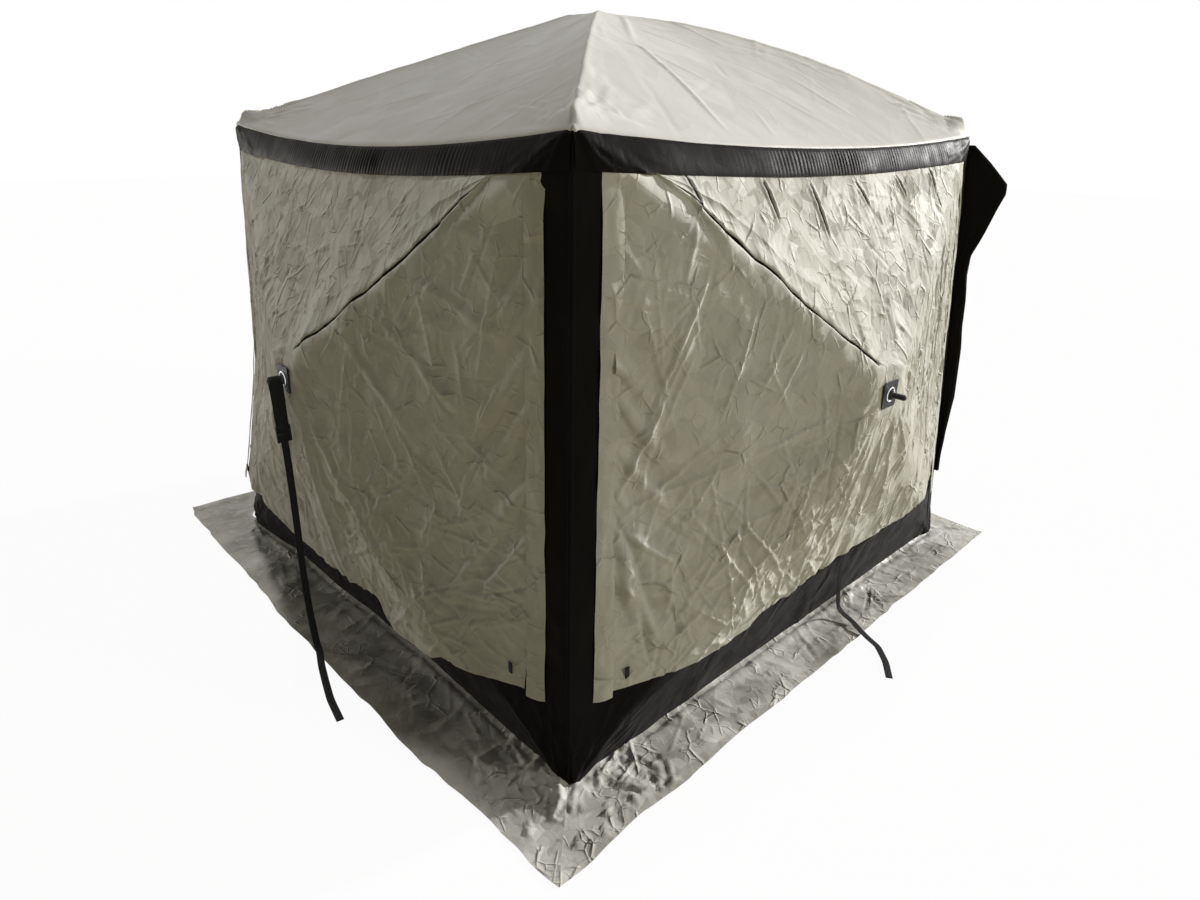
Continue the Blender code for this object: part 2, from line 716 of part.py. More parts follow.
def tip_lateral(pole, pressed, inward):
    """Place of a pole's centre over the boot's centre, at a distance inward from it.

    pressed is 0 with the hub out and 1 with the hub pressed to the plane of the boots."""
    chord = math.hypot(pole["run"], pole["fall"])
    angle = pole["angle"] * (1 - pressed)
    height = pole["fall"] * (1 - pressed)
    wanted = pole["run"] - inward
    low, high = 0.0, chord
    for _ in range(40):
        middle = (low + high) / 2
        point, _ = pole_point(chord, pole["bow"], middle)
        forward = point.x * math.cos(angle) + point.z * math.sin(angle)
        low, high = (middle, high) if forward < wanted else (low, middle)
    point, _ = pole_point(chord, pole["bow"], low)
    return height - point.x * math.sin(angle) + point.z * math.cos(angle)


def socket_meshes(pole, hub):
    """Outer and inner funnel of the socket that holds a pole's tip through its whole swing."""
    back = TIP_CLEAR * 0.6
    mouth = pole["run"] - pole["length"] * math.cos(pole["angle"]) + SOCKET_GRIP
    spread = [tip_lateral(pole, pressed, mouth) for pressed in (0.0, 1.0)]
    near = tip_lateral(pole, 1.0, back)
    side = pole["flat"].cross(hub.out)
    narrow = POLE_RADIUS + SOCKET_FIT
    meshes = []
    for wall, extra in ((SOCKET_WALL, 0.0), (0.0, SOCKET_WALL)):
        start = pole["target"] - pole["flat"] * (back - wall) + hub.out * near
        finish = (pole["target"] - pole["flat"] * (mouth + extra)
                  + hub.out * (sum(spread) / 2))
        travel = abs(spread[0] - spread[1]) / 2 * (mouth + extra) / mouth
        bm = bmesh.new()
        low = slot_ring(bm, start, side, hub.out, narrow + wall, 0.0, SOCKET_SIDES)
        high = slot_ring(bm, finish, side, hub.out, narrow + wall, travel, SOCKET_SIDES)
        loft(bm, [low, high])
        meshes.append(finished(bm, "socket"))
    return meshes


def facet_plane(k, facet):
    """A point on one facet of wall k, on its inner face, and the facet's outward normal."""
    flats = {"right": (0.5, 0.5), "left": (-0.5, 0.5), "top": (0.0, 0.8), "bottom": (0.0, 0.2)}
    u, share = flats[facet]
    z = share * EAVE_HEIGHT if facet in ("top", "bottom") else HUB_HEIGHT
    u *= half_width(z)
    a, b, _ = FACETS[facet]
    along, out = wall_axes(k)
    grade_u = APEX_BULGE * a
    grade_z = APEX_BULGE * b + LEAN
    normal = (out - along * grade_u - Vector((0.0, 0.0, grade_z))).normalized()
    return wall_point(k, u, z, SHELL_IN), normal


def make_boot(corner, top, hubs):
    """Corner boot: a knob in the cloth corner with a funnel socket for each pole."""
    centre = boot_centre(corner, top)
    following = (corner + 1) % 4
    level = "top" if top else "bottom"
    pairs = [(hubs[corner], level + "_right"), (hubs[following], level + "_left")]
    if top:
        pairs.append((hubs[4], ("front_right", "back_right", "back_left", "front_left")[corner]))
    bm = bmesh.new()
    bmesh.ops.create_icosphere(bm, subdivisions=2, radius=BOOT_RADIUS,
                               matrix=Matrix.Translation(centre))
    knob = finished(bm, "knob")
    outer = []
    inner = []
    for hub, label in pairs:
        shell, hollow = socket_meshes(hub.poles[label], hub)
        outer.append(("UNION", shell))
        inner.append(("DIFFERENCE", hollow))
    body = cut_shape(knob, outer, "boot")
    bm = bmesh.new()
    bm.from_mesh(body)
    planes = [facet_plane(corner, "right"), facet_plane(corner, level),
              facet_plane(following, "left"), facet_plane(following, level)]
    planes = [(point - normal * GAP, normal) for point, normal in planes]
    if not top:
        planes.append((Vector((0.0, 0.0, FOOT)), Vector((0.0, 0.0, -1.0))))
    for point, normal in planes:
        parts = bm.verts[:] + bm.edges[:] + bm.faces[:]
        cut = bmesh.ops.bisect_plane(bm, geom=parts, plane_co=point, plane_no=normal,
                                     dist=1e-6, clear_outer=True)
        rim = [item for item in cut["geom_cut"] if isinstance(item, bmesh.types.BMEdge)]
        if rim:
            bmesh.ops.edgeloop_fill(bm, edges=rim)
    name = WALLS[corner] + "_right_" + level + "_boot"
    mesh = cut_shape(finished(bm, name), inner, name)
    link(name, mesh, MOULDED)


# Door leaf, zip and webbing

def make_door_leaf():
    """Black door leaf of the back wall, drawn back to its corner and gathered by a tie."""
    levels = 14
    bm = bmesh.new()
    loops = []
    for i in range(levels + 1):
        z = LEAF_TOP + (LEAF_END - LEAF_TOP) * i / levels
        loops.append(leaf_section(bm, z))
    loft(bm, loops)
    link("door_leaf", finished(bm, "door_leaf", 50.0), BLACK_CLOTH)


def leaf_reach(z):
    """How far the gathered leaf stands out of the corner at height z."""
    wing = (z - LEAF_TIE_HEIGHT) / (LEAF_TOP - LEAF_TIE_HEIGHT)
    hanging = 0.020
    if wing <= 0.0:
        return hanging
    return hanging + (LEAF_SPREAD - hanging) * math.sin(math.pi * wing ** 0.8) ** 0.8 * (1 - 0.15 * wing)


def leaf_section(bm, z):
    """Section of the leaf at height z: sewn to the corner strip, thin at its outer edge."""
    corner = half_width(z)
    lift = CLOTH / 2 + 2 * GAP
    slope = APEX_BULGE / HUB_HALF
    reach = leaf_reach(z)
    root = CORNER_STRIP * (0.75 if z > LEAF_TIE_HEIGHT else 0.4)
    thick = 0.010
    points = [
        (corner - root, corner + root * slope + lift),
        (corner + 0.002, corner + lift),
        (corner + reach, corner + reach - thick * 0.6),
        (corner + reach + thick * 0.3, corner + reach + thick * 0.2),
        (corner + reach * 0.9, corner + reach + thick * 0.6),
        (corner - root * 0.2, corner + root * slope + lift + thick * 1.6),
        (corner - root * 0.8, corner + root * slope + lift + thick),
    ]
    return [bm.verts.new((x, y, z)) for x, y in points]


def slider_track():
    """Lower and upper end of the door zip along the doorway's upright inner side."""
    corners = door_corners()
    low = Vector(corners["side_low"])
    high = Vector(corners["side_high"])
    inset = Vector((SLIDER_SIZE[0] * 1.2, 0.0))
    return low + inset, high + inset


def make_zip_slider():
    low, high = slider_track()
    lift = CLOTH / 2 + GAP
    foot = wall_point(2, low.x, low.y + SLIDER_SIZE[2], lift)
    head = wall_point(2, high.x, high.y - SLIDER_SIZE[2], lift)
    upward = (head - foot).normalized()
    _, normal = facet_plane(2, "left")
    across = upward.cross(normal).normalized()
    bm = bmesh.new()
    width, height, length = SLIDER_SIZE
    loops = []
    for way, narrow in ((-0.5, 0.7), (-0.2, 1.0), (0.3, 0.8), (0.5, 0.4)):
        centre = foot + upward * (way * length)
        side = across * (width / 2 * narrow)
        loops.append([bm.verts.new(place) for place in (
            centre - side, centre + side,
            centre + side * 0.8 + normal * height * narrow,
            centre - side * 0.8 + normal * height * narrow)])
    loft(bm, loops)
    link("door_zip_slider", finished(bm, "door_zip_slider"), ZIP_METAL)


def catmull(points, steps):
    """Points of a smooth curve through a cord's own points."""
    row_points = [points[0] * 2 - points[1], *points, points[-1] * 2 - points[-2]]
    curve = []
    for i in range(1, len(row_points) - 2):
        p0, p1, p2, p3 = row_points[i - 1:i + 3]
        for j in range(steps):
            t = j / steps
            curve.append(0.5 * (2 * p1 + (p2 - p0) * t + (2 * p0 - 5 * p1 + 4 * p2 - p3) * t * t
                                + (3 * p1 - p0 - 3 * p2 + p3) * t ** 3))
    curve.append(points[-1])
    return curve


def make_strap(name, route, side):
    """Flat webbing along a route of points (x, y, z, width, thickness).

    It keeps its width level, and side is its first direction across."""
    points = catmull([Vector(place) for place in route], 2)
    side = Vector(side)
    bm = bmesh.new()
    loops = []
    for i, point in enumerate(points):
        before = points[max(i - 1, 0)]
        after = points[min(i + 1, len(points) - 1)]
        direction = Vector((after - before)[:3]).normalized()
        side = side - direction * side.dot(direction)
        side.z = 0.0
        side.normalize()
        across = side * (point[3] / 2)
        up = side.cross(direction).normalized() * (point[4] / 2)
        centre = Vector(point[:3])
        loops.append([bm.verts.new(centre + a + b) for a, b in
                      ((-across, -up), (across, -up), (across, up), (-across, up))])
    loft(bm, loops)
    return finished(bm, name)


def make_front_strap(hub):
    """Doubled webbing hung on the hub's grip by an eyelet, single below its buckle."""
    hung = hub.face + hub.out * EYELET_REACH
    route = [(hung.x, hung.y, z, width, LOOP_THICK) for z, width in FRONT_LOOP]
    route += [(x, y + hung.y, z, WEBBING_WIDTH, WEBBING_THICK) for x, y, z in FRONT_TAIL]
    strap = make_strap("front_strap", route, (1.0, 0.0, 0.0))
    reach = hub.out * (3 * LOOP_THICK)
    eyelet = rod(hung - reach, hung + reach, EYELET_RADIUS, 12)
    link("front_strap", cut_shape(strap, [("DIFFERENCE", eyelet)], "front_strap"), WEBBING)
    make_buckle(Vector((hung.x, hung.y, BUCKLE_HEIGHT)))


def make_right_strap():
    """Webbing sewn to the base band of the right wall, over the skirt and onto the ground."""
    seat = CLOTH / 2 + 2 * GAP + WEBBING_THICK / 2
    route = [wall_point(1, RIGHT_STRAP_PLACE, z, seat) for z in (HEM_HEIGHT - 0.004, 0.262)]
    route = [(*place, WEBBING_WIDTH, WEBBING_THICK) for place in (*route, *RIGHT_TAIL)]
    strap = make_strap("right_strap", route, (0.0, 1.0, 0.0))
    link("right_strap", strap, WEBBING)


# Routes of the two straps: heights and widths of the doubled part, then places of the rest.
# The places of the front strap count Y from the line it hangs on.
FRONT_LOOP = [
    (1.0520, 0.018), (1.0480, 0.029), (1.0400, 0.036), (1.0250, LOOP_WIDTH),
    (0.9500, LOOP_WIDTH), (0.8700, LOOP_WIDTH), (0.8480, LOOP_WIDTH),
]
FRONT_TAIL = [
    (0.000, 0.0000, 0.8250), (0.000, 0.0000, 0.7600), (-0.002, 0.0000, 0.680),
    (-0.006, 0.0000, 0.600), (-0.012, -0.0010, 0.480), (-0.018, -0.0020, 0.360),
    (-0.018, -0.0040, 0.240), (-0.010, -0.0060, 0.130), (0.008, -0.0090, 0.055),
    (0.034, -0.0150, 0.012), (0.085, -0.0260, 0.0022), (0.160, -0.0530, 0.0012),
    (0.250, -0.0790, 0.0012), (0.350, -0.1060, 0.0012), (0.466, -0.1250, 0.0012),
]
BUCKLE_HEIGHT = 0.842
RIGHT_STRAP_PLACE = 0.183
RIGHT_TAIL = [
    (1.2345, 0.186, 0.230), (1.2345, 0.194, 0.160), (1.2345, 0.202, 0.090),
    (1.2400, 0.206, 0.035), (1.2700, 0.202, 0.006), (1.3150, 0.190, 0.0027),
    (1.3650, 0.168, 0.0027), (1.4100, 0.154, 0.0020), (1.4600, 0.137, 0.0012),
    (1.5250, 0.074, 0.0012), (1.5780, 0.000, 0.0012),
]


def make_buckle(centre):
    """Ladder buckle on the front strap: a frame with two windows and the webbing through it."""
    width, thick, height = BUCKLE_SIZE
    half = Vector(BUCKLE_SIZE) / 2
    body = block(centre - half, centre + half, "front_buckle")
    slot_half = Vector((LOOP_WIDTH / 2 + 3 * GAP, LOOP_THICK / 2 + 2 * GAP, height))
    steps = [("DIFFERENCE", block(centre - slot_half, centre + slot_half))]
    for low, high in ((-height / 2 + BUCKLE_WALL, -BUCKLE_WALL / 2),
                      (BUCKLE_WALL / 2, height / 2 - BUCKLE_WALL)):
        window = block(centre + Vector((-width / 2 + BUCKLE_WALL, -thick, low)),
                       centre + Vector((width / 2 - BUCKLE_WALL, 0.0, high)))
        steps.append(("DIFFERENCE", window))
    link("front_buckle", cut_shape(body, steps, "front_buckle"), MOULDED)


def build():
    for k, wall in enumerate(WALLS):
        make_border(k)
        make_screen(k)
        if wall != "back":
            make_wind_panel(k)
        make_skirt(k)
    make_canopy()
    hubs = [wall_hub(k) for k in range(4)] + [roof_hub()]
    for hub in hubs:
        make_hub(hub)
        make_poles(hub)
        if hub.name != "roof":
            make_hub_plate(hub)
    for corner in range(4):
        for top in (True, False):
            make_boot(corner, top, hubs)
    make_door_leaf()
    make_zip_slider()
    make_front_strap(hubs[0])
    make_right_strap()
    bpy.context.view_layer.update()


build()
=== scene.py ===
# %% [markdown]
# A pop-up screen tent for the garden
#
# The real tent is one sewn skin of silver cloth and black borders, held out by five hubs. Each hub is
# a moulded disc with four fibreglass poles. The hubs, poles and corner boots come from the measured
# model as they are and only get their finish here. Everything soft is made new in this lesson: roof,
# black borders, silver wind panels, mesh screens, ground skirt, door leaf and straps.

# %% Load the measured model
import math
from contextlib import contextmanager

import bmesh
import bpy
import numpy as np
from mathutils import Matrix, Vector


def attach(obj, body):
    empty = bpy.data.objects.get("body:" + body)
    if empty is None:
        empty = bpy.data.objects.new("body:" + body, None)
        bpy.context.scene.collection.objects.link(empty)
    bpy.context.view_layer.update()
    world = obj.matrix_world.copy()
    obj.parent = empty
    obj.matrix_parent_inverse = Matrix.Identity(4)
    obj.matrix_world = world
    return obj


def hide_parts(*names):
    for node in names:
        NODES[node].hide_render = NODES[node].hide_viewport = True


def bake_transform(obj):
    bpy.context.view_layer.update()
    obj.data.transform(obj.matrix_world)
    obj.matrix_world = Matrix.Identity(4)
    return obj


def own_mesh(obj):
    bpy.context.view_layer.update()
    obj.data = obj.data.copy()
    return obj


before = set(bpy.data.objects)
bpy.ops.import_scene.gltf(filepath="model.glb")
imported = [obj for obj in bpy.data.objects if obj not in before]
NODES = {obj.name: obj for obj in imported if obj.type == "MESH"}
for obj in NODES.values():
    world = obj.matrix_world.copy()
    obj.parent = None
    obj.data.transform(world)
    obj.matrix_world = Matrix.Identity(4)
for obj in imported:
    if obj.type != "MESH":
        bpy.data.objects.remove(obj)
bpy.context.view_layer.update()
ROOT = "cloth_and_boots"

# %% [markdown]
# The camera stands at eye level in front of the near corner and looks a little down. Its place was
# found from the corners of the tent, so a wide lens is right: the near corner looks much taller than
# the two outer ones.

# %% Camera
EYE = Vector((2.4230, -2.2437, 1.7934))
VIEW_RIGHT = Vector((0.6808, 0.7323, 0.0155))
VIEW_DOWN_LINE = Vector((-0.6695, 0.6307, -0.3925))
camera_data = bpy.data.cameras.new("camera")
camera_data.sensor_width = 36.0
camera_data.lens = 22.395
camera = bpy.data.objects.new("camera", camera_data)
bpy.context.scene.collection.objects.link(camera)
back = -VIEW_DOWN_LINE.normalized()
right = (VIEW_RIGHT - back * VIEW_RIGHT.dot(back)).normalized()
upward = back.cross(right)
camera.matrix_world = Matrix.Translation(EYE) @ Matrix((right, upward, back)).transposed().to_4x4()
bpy.context.scene.camera = camera
print("camera at", tuple(round(c, 3) for c in EYE))

# %% [markdown]
# Every new piece starts as one of Blender's own meshes. This helper adds the mesh and names it.

# %% Start of a piece


def start_piece(name, add_mesh, **values):
    bpy.ops.object.select_all(action="DESELECT")
    add_mesh(**values)
    piece = bpy.context.object
    piece.name = name
    return piece


# %% [markdown]
# The key is a low sun from behind. It grazes the right wall, so that each crease there throws its own
# small shadow. A weaker high sun lights the roof, and two side fills with a dim warm surround keep
# the shade soft. The camera and reflections see a white surround and a white floor, while all other
# light meets a floor in the tone of dry grass, which warms the cloth near the ground.

# %% Light and surroundings
scene = bpy.context.scene
scene.view_settings.view_transform = "Standard"


def add_sun(name, toward, strength, angle, colour):
    lamp = bpy.data.lights.new(name, "SUN")
    lamp.energy = strength
    lamp.angle = math.radians(angle)
    lamp.color = colour
    holder = bpy.data.objects.new(name, lamp)
    holder.rotation_mode = "QUATERNION"
    holder.rotation_quaternion = Vector(toward).to_track_quat("Z", "Y")
    scene.collection.objects.link(holder)


def seen_directly(tree):
    """A value that is 1 for the camera, for reflections and through glass, and 0 for other light."""
    path = tree.nodes.new("ShaderNodeLightPath")
    value = path.outputs["Is Camera Ray"]
    for ray in ("Is Glossy Ray", "Is Transmission Ray"):
        either = tree.nodes.new("ShaderNodeMath")
        either.operation = "MAXIMUM"
        tree.links.new(value, either.inputs[0])
        tree.links.new(path.outputs[ray], either.inputs[1])
        value = either.outputs[0]
    return value


def blank_tree(owner):
    owner.use_nodes = True
    owner.node_tree.nodes.clear()
    return owner.node_tree


def shader_node(tree, kind, colour, strength=None):
    made = tree.nodes.new(kind)
    made.inputs["Color"].default_value = (*colour, 1.0)
    if strength is not None:
        made.inputs["Strength"].default_value = strength
    return made.outputs[0]


def mix(tree, share, first, second):
    made = tree.nodes.new("ShaderNodeMixShader")
    if isinstance(share, float):
        made.inputs["Fac"].default_value = share
    else:
        tree.links.new(share, made.inputs["Fac"])
    tree.links.new(first, made.inputs[1])
    tree.links.new(second, made.inputs[2])
    return made.outputs["Shader"]


add_sun("key", (0.225, 0.93, 0.32), 3.9, 2.5, (1.0, 0.985, 0.975))
add_sun("high", (-0.21, 0.14, 0.97), 0.85, 5.0, (1.0, 0.985, 0.97))
add_sun("right_fill", (0.78, 0.50, 0.34), 0.84, 8.0, (1.0, 0.97, 0.87))
add_sun("left_fill", (-0.92, -0.34, 0.16), 0.60, 7.0, (1.0, 0.94, 0.84))

world = bpy.data.worlds.new("surround")
scene.world = world
tree = blank_tree(world)
seen = shader_node(tree, "ShaderNodeBackground", (1.0, 1.0, 1.0), 1.0)
lit = shader_node(tree, "ShaderNodeBackground", (1.0, 0.955, 0.83), 0.080)
output = tree.nodes.new("ShaderNodeOutputWorld")
tree.links.new(mix(tree, seen_directly(tree), lit, seen), output.inputs["Surface"])

FLOOR_DEPTH = 0.004
floor = start_piece("floor", bpy.ops.mesh.primitive_plane_add, size=60.0, location=(0.0, 0.0, -FLOOR_DEPTH))
paper = bpy.data.materials.new("floor_paper")
tree = blank_tree(paper)
shadowed = shader_node(tree, "ShaderNodeBsdfDiffuse", (0.90, 0.90, 0.90))
glow = shader_node(tree, "ShaderNodeEmission", (1.0, 1.0, 1.0), 1.0)
ground = shader_node(tree, "ShaderNodeBsdfDiffuse", (0.42, 0.40, 0.28))
white = mix(tree, 0.95, shadowed, glow)
output = tree.nodes.new("ShaderNodeOutputMaterial")
tree.links.new(mix(tree, seen_directly(tree), ground, white), output.inputs["Surface"])
floor.data.materials.append(paper)

# %% [markdown]
# A finish is more than one colour. The silver cloth is thin polyester with a metal pigment coat: it has
# a dull gloss, fine creases from the bag, and slightly warmer and cooler patches. Each material
# here is built from noise and cell patterns on the cloth's own flat coordinates, in metres, so that
# the creases follow the sheet. Hard pieces use their object coordinates instead.

# %% Material helpers
EVEN = (1.0, 1.0, 1.0)
CELL_WARP_SIZE = 2.2


class Finish:
    """A material with one shader and short calls for the nodes that feed it."""

    def __init__(self, name, colour, roughness, specular=0.5, metallic=0.0, source="UV"):
        self.material = bpy.data.materials.new(name)
        self.material.use_nodes = True
        self.material.diffuse_color = (*colour, 1.0)
        self.tree = self.material.node_tree
        self.shader = self.tree.nodes["Principled BSDF"]
        self.fill(self.shader, {"Base Color": (*colour, 1.0), "Roughness": roughness, "Metallic": metallic,
                                "Specular IOR Level": specular})
        self.place = self.tree.nodes.new("ShaderNodeTexCoord").outputs[source]

    def fill(self, node, values):
        """Set inputs of a node. A value that comes out of another node is linked."""
        for entry, value in values.items():
            if isinstance(value, bpy.types.NodeSocket):
                self.tree.links.new(value, node.inputs[entry])
            else:
                node.inputs[entry].default_value = value

    def node(self, kind, *ordered, **named):
        """Add a node with its inputs in order or by name. Names in lower case are settings."""
        made = self.tree.nodes.new(kind)
        for name in [name for name in named if name.islower()]:
            setattr(made, name, named.pop(name))
        self.fill(made, dict(enumerate(ordered)) | named)
        return made

    def stretch(self, scale, turn=0.0):
        """The place on the piece, scaled and turned in its own plane."""
        mapping = self.node("ShaderNodeMapping", Vector=self.place, Scale=scale, Rotation=(0.0, 0.0, turn))
        return mapping.outputs["Vector"]

    def noise(self, size, detail, scale=EVEN, turn=0.0, rough=0.5):
        made = self.node("ShaderNodeTexNoise", Vector=self.stretch(scale, turn), Scale=1.0 / size,
                         Detail=detail, Roughness=rough)
        return made.outputs["Fac"]

    def stripes(self, direction, size):
        """Even lines across one direction of the cloth."""
        made = self.node("ShaderNodeTexWave", wave_type="BANDS", bands_direction=direction, Vector=self.place,
                         Scale=1.0 / size)
        return made.outputs["Fac"]

    def plates(self, size, slope, turn=0.0):
        """Flat facets, each tilted its own way, as a height in metres."""
        flat = self.stretch(EVEN, turn)
        cell = self.node("ShaderNodeTexVoronoi", feature="F1", Vector=flat, Scale=1.0 / size)
        offset = self.node("ShaderNodeVectorMath", flat, cell.outputs["Position"], operation="SUBTRACT")
        tilt = self.node("ShaderNodeVectorMath", cell.outputs["Color"], (0.5, 0.5, 0.5), operation="SUBTRACT")
        dot = self.node("ShaderNodeVectorMath", offset.outputs["Vector"], tilt.outputs["Vector"],
                        operation="DOT_PRODUCT")
        return self.math("MULTIPLY", dot.outputs["Value"], slope)

    def ridges(self, size, width, warp, patch):
        """Thin raised lines along the edges of warped cells, strong in some patches and faint in others."""
        flat = self.stretch(EVEN)
        swirl = self.node("ShaderNodeTexNoise", Vector=flat, Scale=1.0 / (size * CELL_WARP_SIZE), Detail=2.0)
        push = self.node("ShaderNodeVectorMath", swirl.outputs["Color"], operation="SCALE", Scale=warp * size)
        moved = self.node("ShaderNodeVectorMath", flat, push.outputs["Vector"], operation="ADD")
        cell = self.node("ShaderNodeTexVoronoi", feature="DISTANCE_TO_EDGE", Vector=moved.outputs["Vector"],
                         Scale=1.0 / size)
        edge = self.spread(cell.outputs["Distance"], 0.0, width / size, 1.0, 0.0)
        mask = self.spread(self.noise(patch, 2.0), 0.50, 0.64, 0.0, 1.0)
        return self.math("MULTIPLY", self.math("POWER", edge, 1.6), mask)

    def spread(self, value, low, high, out_low, out_high):
        """Move a value from one range to another."""
        return self.node("ShaderNodeMapRange", value, low, high, out_low, out_high).outputs["Result"]

    def math(self, operation, first, second):
        return self.node("ShaderNodeMath", first, second, operation=operation).outputs[0]

    def colours(self, value, *stops):
        """Colour the finish by a value, with stops of (value, colour)."""
        ramp = self.node("ShaderNodeValToRGB", value)
        elements = ramp.color_ramp.elements
        while len(elements) < len(stops):
            elements.new(0.5)
        for element, (position, colour) in zip(elements, stops):
            element.position = position
            element.color = (*colour, 1.0)
        self.colour = ramp.outputs["Color"]
        self.fill(self.shader, {"Base Color": self.colour})

    def paint_shade_where_inner(self, colour):
        """Painted shade: where the attribute called inner is 1, the base colour goes to a near black colour.
        """
        inner = self.node("ShaderNodeAttribute", attribute_name="inner")
        blend = self.node("ShaderNodeMix", data_type="RGBA", Factor=inner.outputs["Fac"], A=self.colour,
                          B=(*colour, 1.0))
        self.fill(self.shader, {"Base Color": blend.outputs["Result"]})

    def rough(self, value, low, high):
        self.fill(self.shader, {"Roughness": self.spread(value, 0.3, 0.7, low, high)})

    def bump(self, *layers):
        """Stack bump layers, each (height value, distance in metres, strength)."""
        normal = None
        for height, distance, strength in layers:
            made = self.node("ShaderNodeBump", Height=height, Distance=distance, Strength=strength)
            if normal is not None:
                self.fill(made, {"Normal": normal})
            normal = made.outputs["Normal"]
        self.fill(self.shader, {"Normal": normal})


# %% Silver cloth
silver = Finish("silver_coated_cloth", (0.62, 0.605, 0.545), 0.40, specular=0.05)
silver.colours(silver.noise(0.45, 3.0), (0.30, (0.570, 0.552, 0.480)), (0.50, (0.625, 0.612, 0.548)),
               (0.72, (0.665, 0.655, 0.610)))
silver.rough(silver.noise(0.09, 4.0), 0.50, 0.62)
silver.bump(
    (silver.plates(0.11, 0.36), 1.0, 0.60),
    (silver.ridges(0.15, 0.009, 0.6, 0.10), 0.0048, 1.0),
    (silver.plates(0.040, 0.34, turn=0.7), 1.0, 0.60),
    (silver.ridges(0.060, 0.0050, 0.7, 0.07), 0.0022, 1.0),
    (silver.noise(0.022, 4.0, scale=(1.0, 0.45, 1.0), turn=0.5, rough=0.60), 0.0020, 0.40),
    (silver.noise(0.0016, 1.0), 0.0002, 0.22))
# Painted shade: near black in the grooves under the top folds and inside the open slits, where inner is 1.
silver.paint_shade_where_inner((0.020, 0.018, 0.015))

# %% Silver cloth on the ground
ground_silver = Finish("silver_skirt_cloth", (0.54, 0.53, 0.49), 0.36, specular=0.10)
ground_silver.colours(ground_silver.noise(0.16, 4.0), (0.32, (0.440, 0.430, 0.390)),
                      (0.52, (0.590, 0.580, 0.540)), (0.70, (0.680, 0.670, 0.635)))
ground_silver.rough(ground_silver.noise(0.05, 4.0), 0.34, 0.50)
ground_silver.bump(
    (ground_silver.plates(0.10, 0.36), 1.0, 0.60),
    (ground_silver.plates(0.036, 0.32, turn=0.9), 1.0, 0.60),
    (ground_silver.ridges(0.11, 0.008, 0.6, 0.12), 0.0042, 1.0),
    (ground_silver.ridges(0.05, 0.005, 0.5, 0.12), 0.0022, 1.0),
    (ground_silver.noise(0.016, 4.0, rough=0.62), 0.0014, 0.50),
    (ground_silver.noise(0.0016, 1.0), 0.0002, 0.22))

# %% Silver roof cloth
roof_silver = Finish("silver_roof_cloth", (0.58, 0.57, 0.535), 0.46, specular=0.09)
roof_silver.colours(roof_silver.noise(0.8, 2.0), (0.30, (0.605, 0.595, 0.560)), (0.70, (0.680, 0.670, 0.645)))
roof_silver.rough(roof_silver.noise(0.12, 3.0), 0.42, 0.54)
roof_silver.bump(
    (roof_silver.noise(0.075, 3.0, scale=(1.0, 0.5, 1.0)), 0.0030, 0.25),
    (roof_silver.plates(0.16, 0.16), 1.0, 0.30),
    (roof_silver.ridges(0.14, 0.008, 0.4, 0.30), 0.0009, 0.45),
    (roof_silver.noise(0.0016, 1.0), 0.0002, 0.22))

# %% Black cloth
black = Finish("black_coated_cloth", (0.0105, 0.0095, 0.0085), 0.42, specular=0.012)
black.colours(black.noise(0.35, 3.0), (0.30, (0.0085, 0.0078, 0.0068)), (0.70, (0.0135, 0.0122, 0.0112)))
black.rough(black.noise(0.06, 4.0), 0.36, 0.50)
black.bump(
    (black.noise(0.020, 3.0, scale=(1.0, 0.10, 1.0), rough=0.6), 0.0016, 0.32),
    (black.plates(0.05, 0.16), 1.0, 0.40),
    (black.noise(0.0014, 1.0), 0.0002, 0.3))
black.fill(black.shader, {"Sheen Weight": 0.055, "Sheen Roughness": 0.45})

# %% Insect mesh
MESH_LINES = 0.0062
net = Finish("black_insect_mesh", (0.018, 0.018, 0.017), 0.8, specular=0.15)
threads = net.math("MAXIMUM", net.stripes("X", MESH_LINES), net.stripes("Y", MESH_LINES))
net.fill(net.shader, {"Alpha": net.spread(threads, 0.45, 0.85, 0.50, 1.0)})
net.bump((threads, 0.0004, 0.5), (net.noise(0.12, 2.0), 0.004, 0.2))

# %% Webbing
webbing = Finish("black_webbing", (0.012, 0.012, 0.012), 0.72, specular=0.2)
weave = webbing.math("MULTIPLY", webbing.stripes("Y", 0.0048), webbing.stripes("X", 0.0075))
webbing.colours(weave, (0.1, (0.007, 0.007, 0.007)), (0.9, (0.020, 0.0195, 0.019)))
webbing.bump((weave, 0.0006, 0.7))

# %% Hard finishes
moulded = Finish("moulded_black", (0.020, 0.020, 0.021), 0.38, specular=0.22, source="Object")
moulded.colours(moulded.noise(0.03, 3.0), (0.3, (0.016, 0.016, 0.017)), (0.7, (0.028, 0.028, 0.029)))
moulded.rough(moulded.noise(0.012, 4.0), 0.30, 0.46)
moulded.bump((moulded.noise(0.0012, 2.0), 0.0002, 0.5))

chrome = Finish("chromed_ring", (0.72, 0.72, 0.74), 0.14, metallic=1.0, source="Object")
chrome.rough(chrome.noise(0.006, 3.0), 0.10, 0.24)
chrome.bump((chrome.noise(0.004, 2.0), 0.0001, 0.3))

rod_finish = Finish("black_fibreglass", (0.030, 0.030, 0.031), 0.30, source="Object")
rod_finish.colours(rod_finish.noise(0.02, 3.0), (0.3, (0.024, 0.024, 0.025)), (0.7, (0.042, 0.042, 0.043)))
rod_finish.rough(rod_finish.noise(0.01, 3.0), 0.24, 0.40)
rod_finish.bump((rod_finish.noise(0.0008, 2.0), 0.0001, 0.4))

zip_metal = Finish("grey_zip_metal", (0.35, 0.35, 0.34), 0.35, metallic=0.9, source="Object")
zip_metal.rough(zip_metal.noise(0.004, 3.0), 0.28, 0.46)
zip_metal.bump((zip_metal.noise(0.001, 2.0), 0.0001, 0.4))

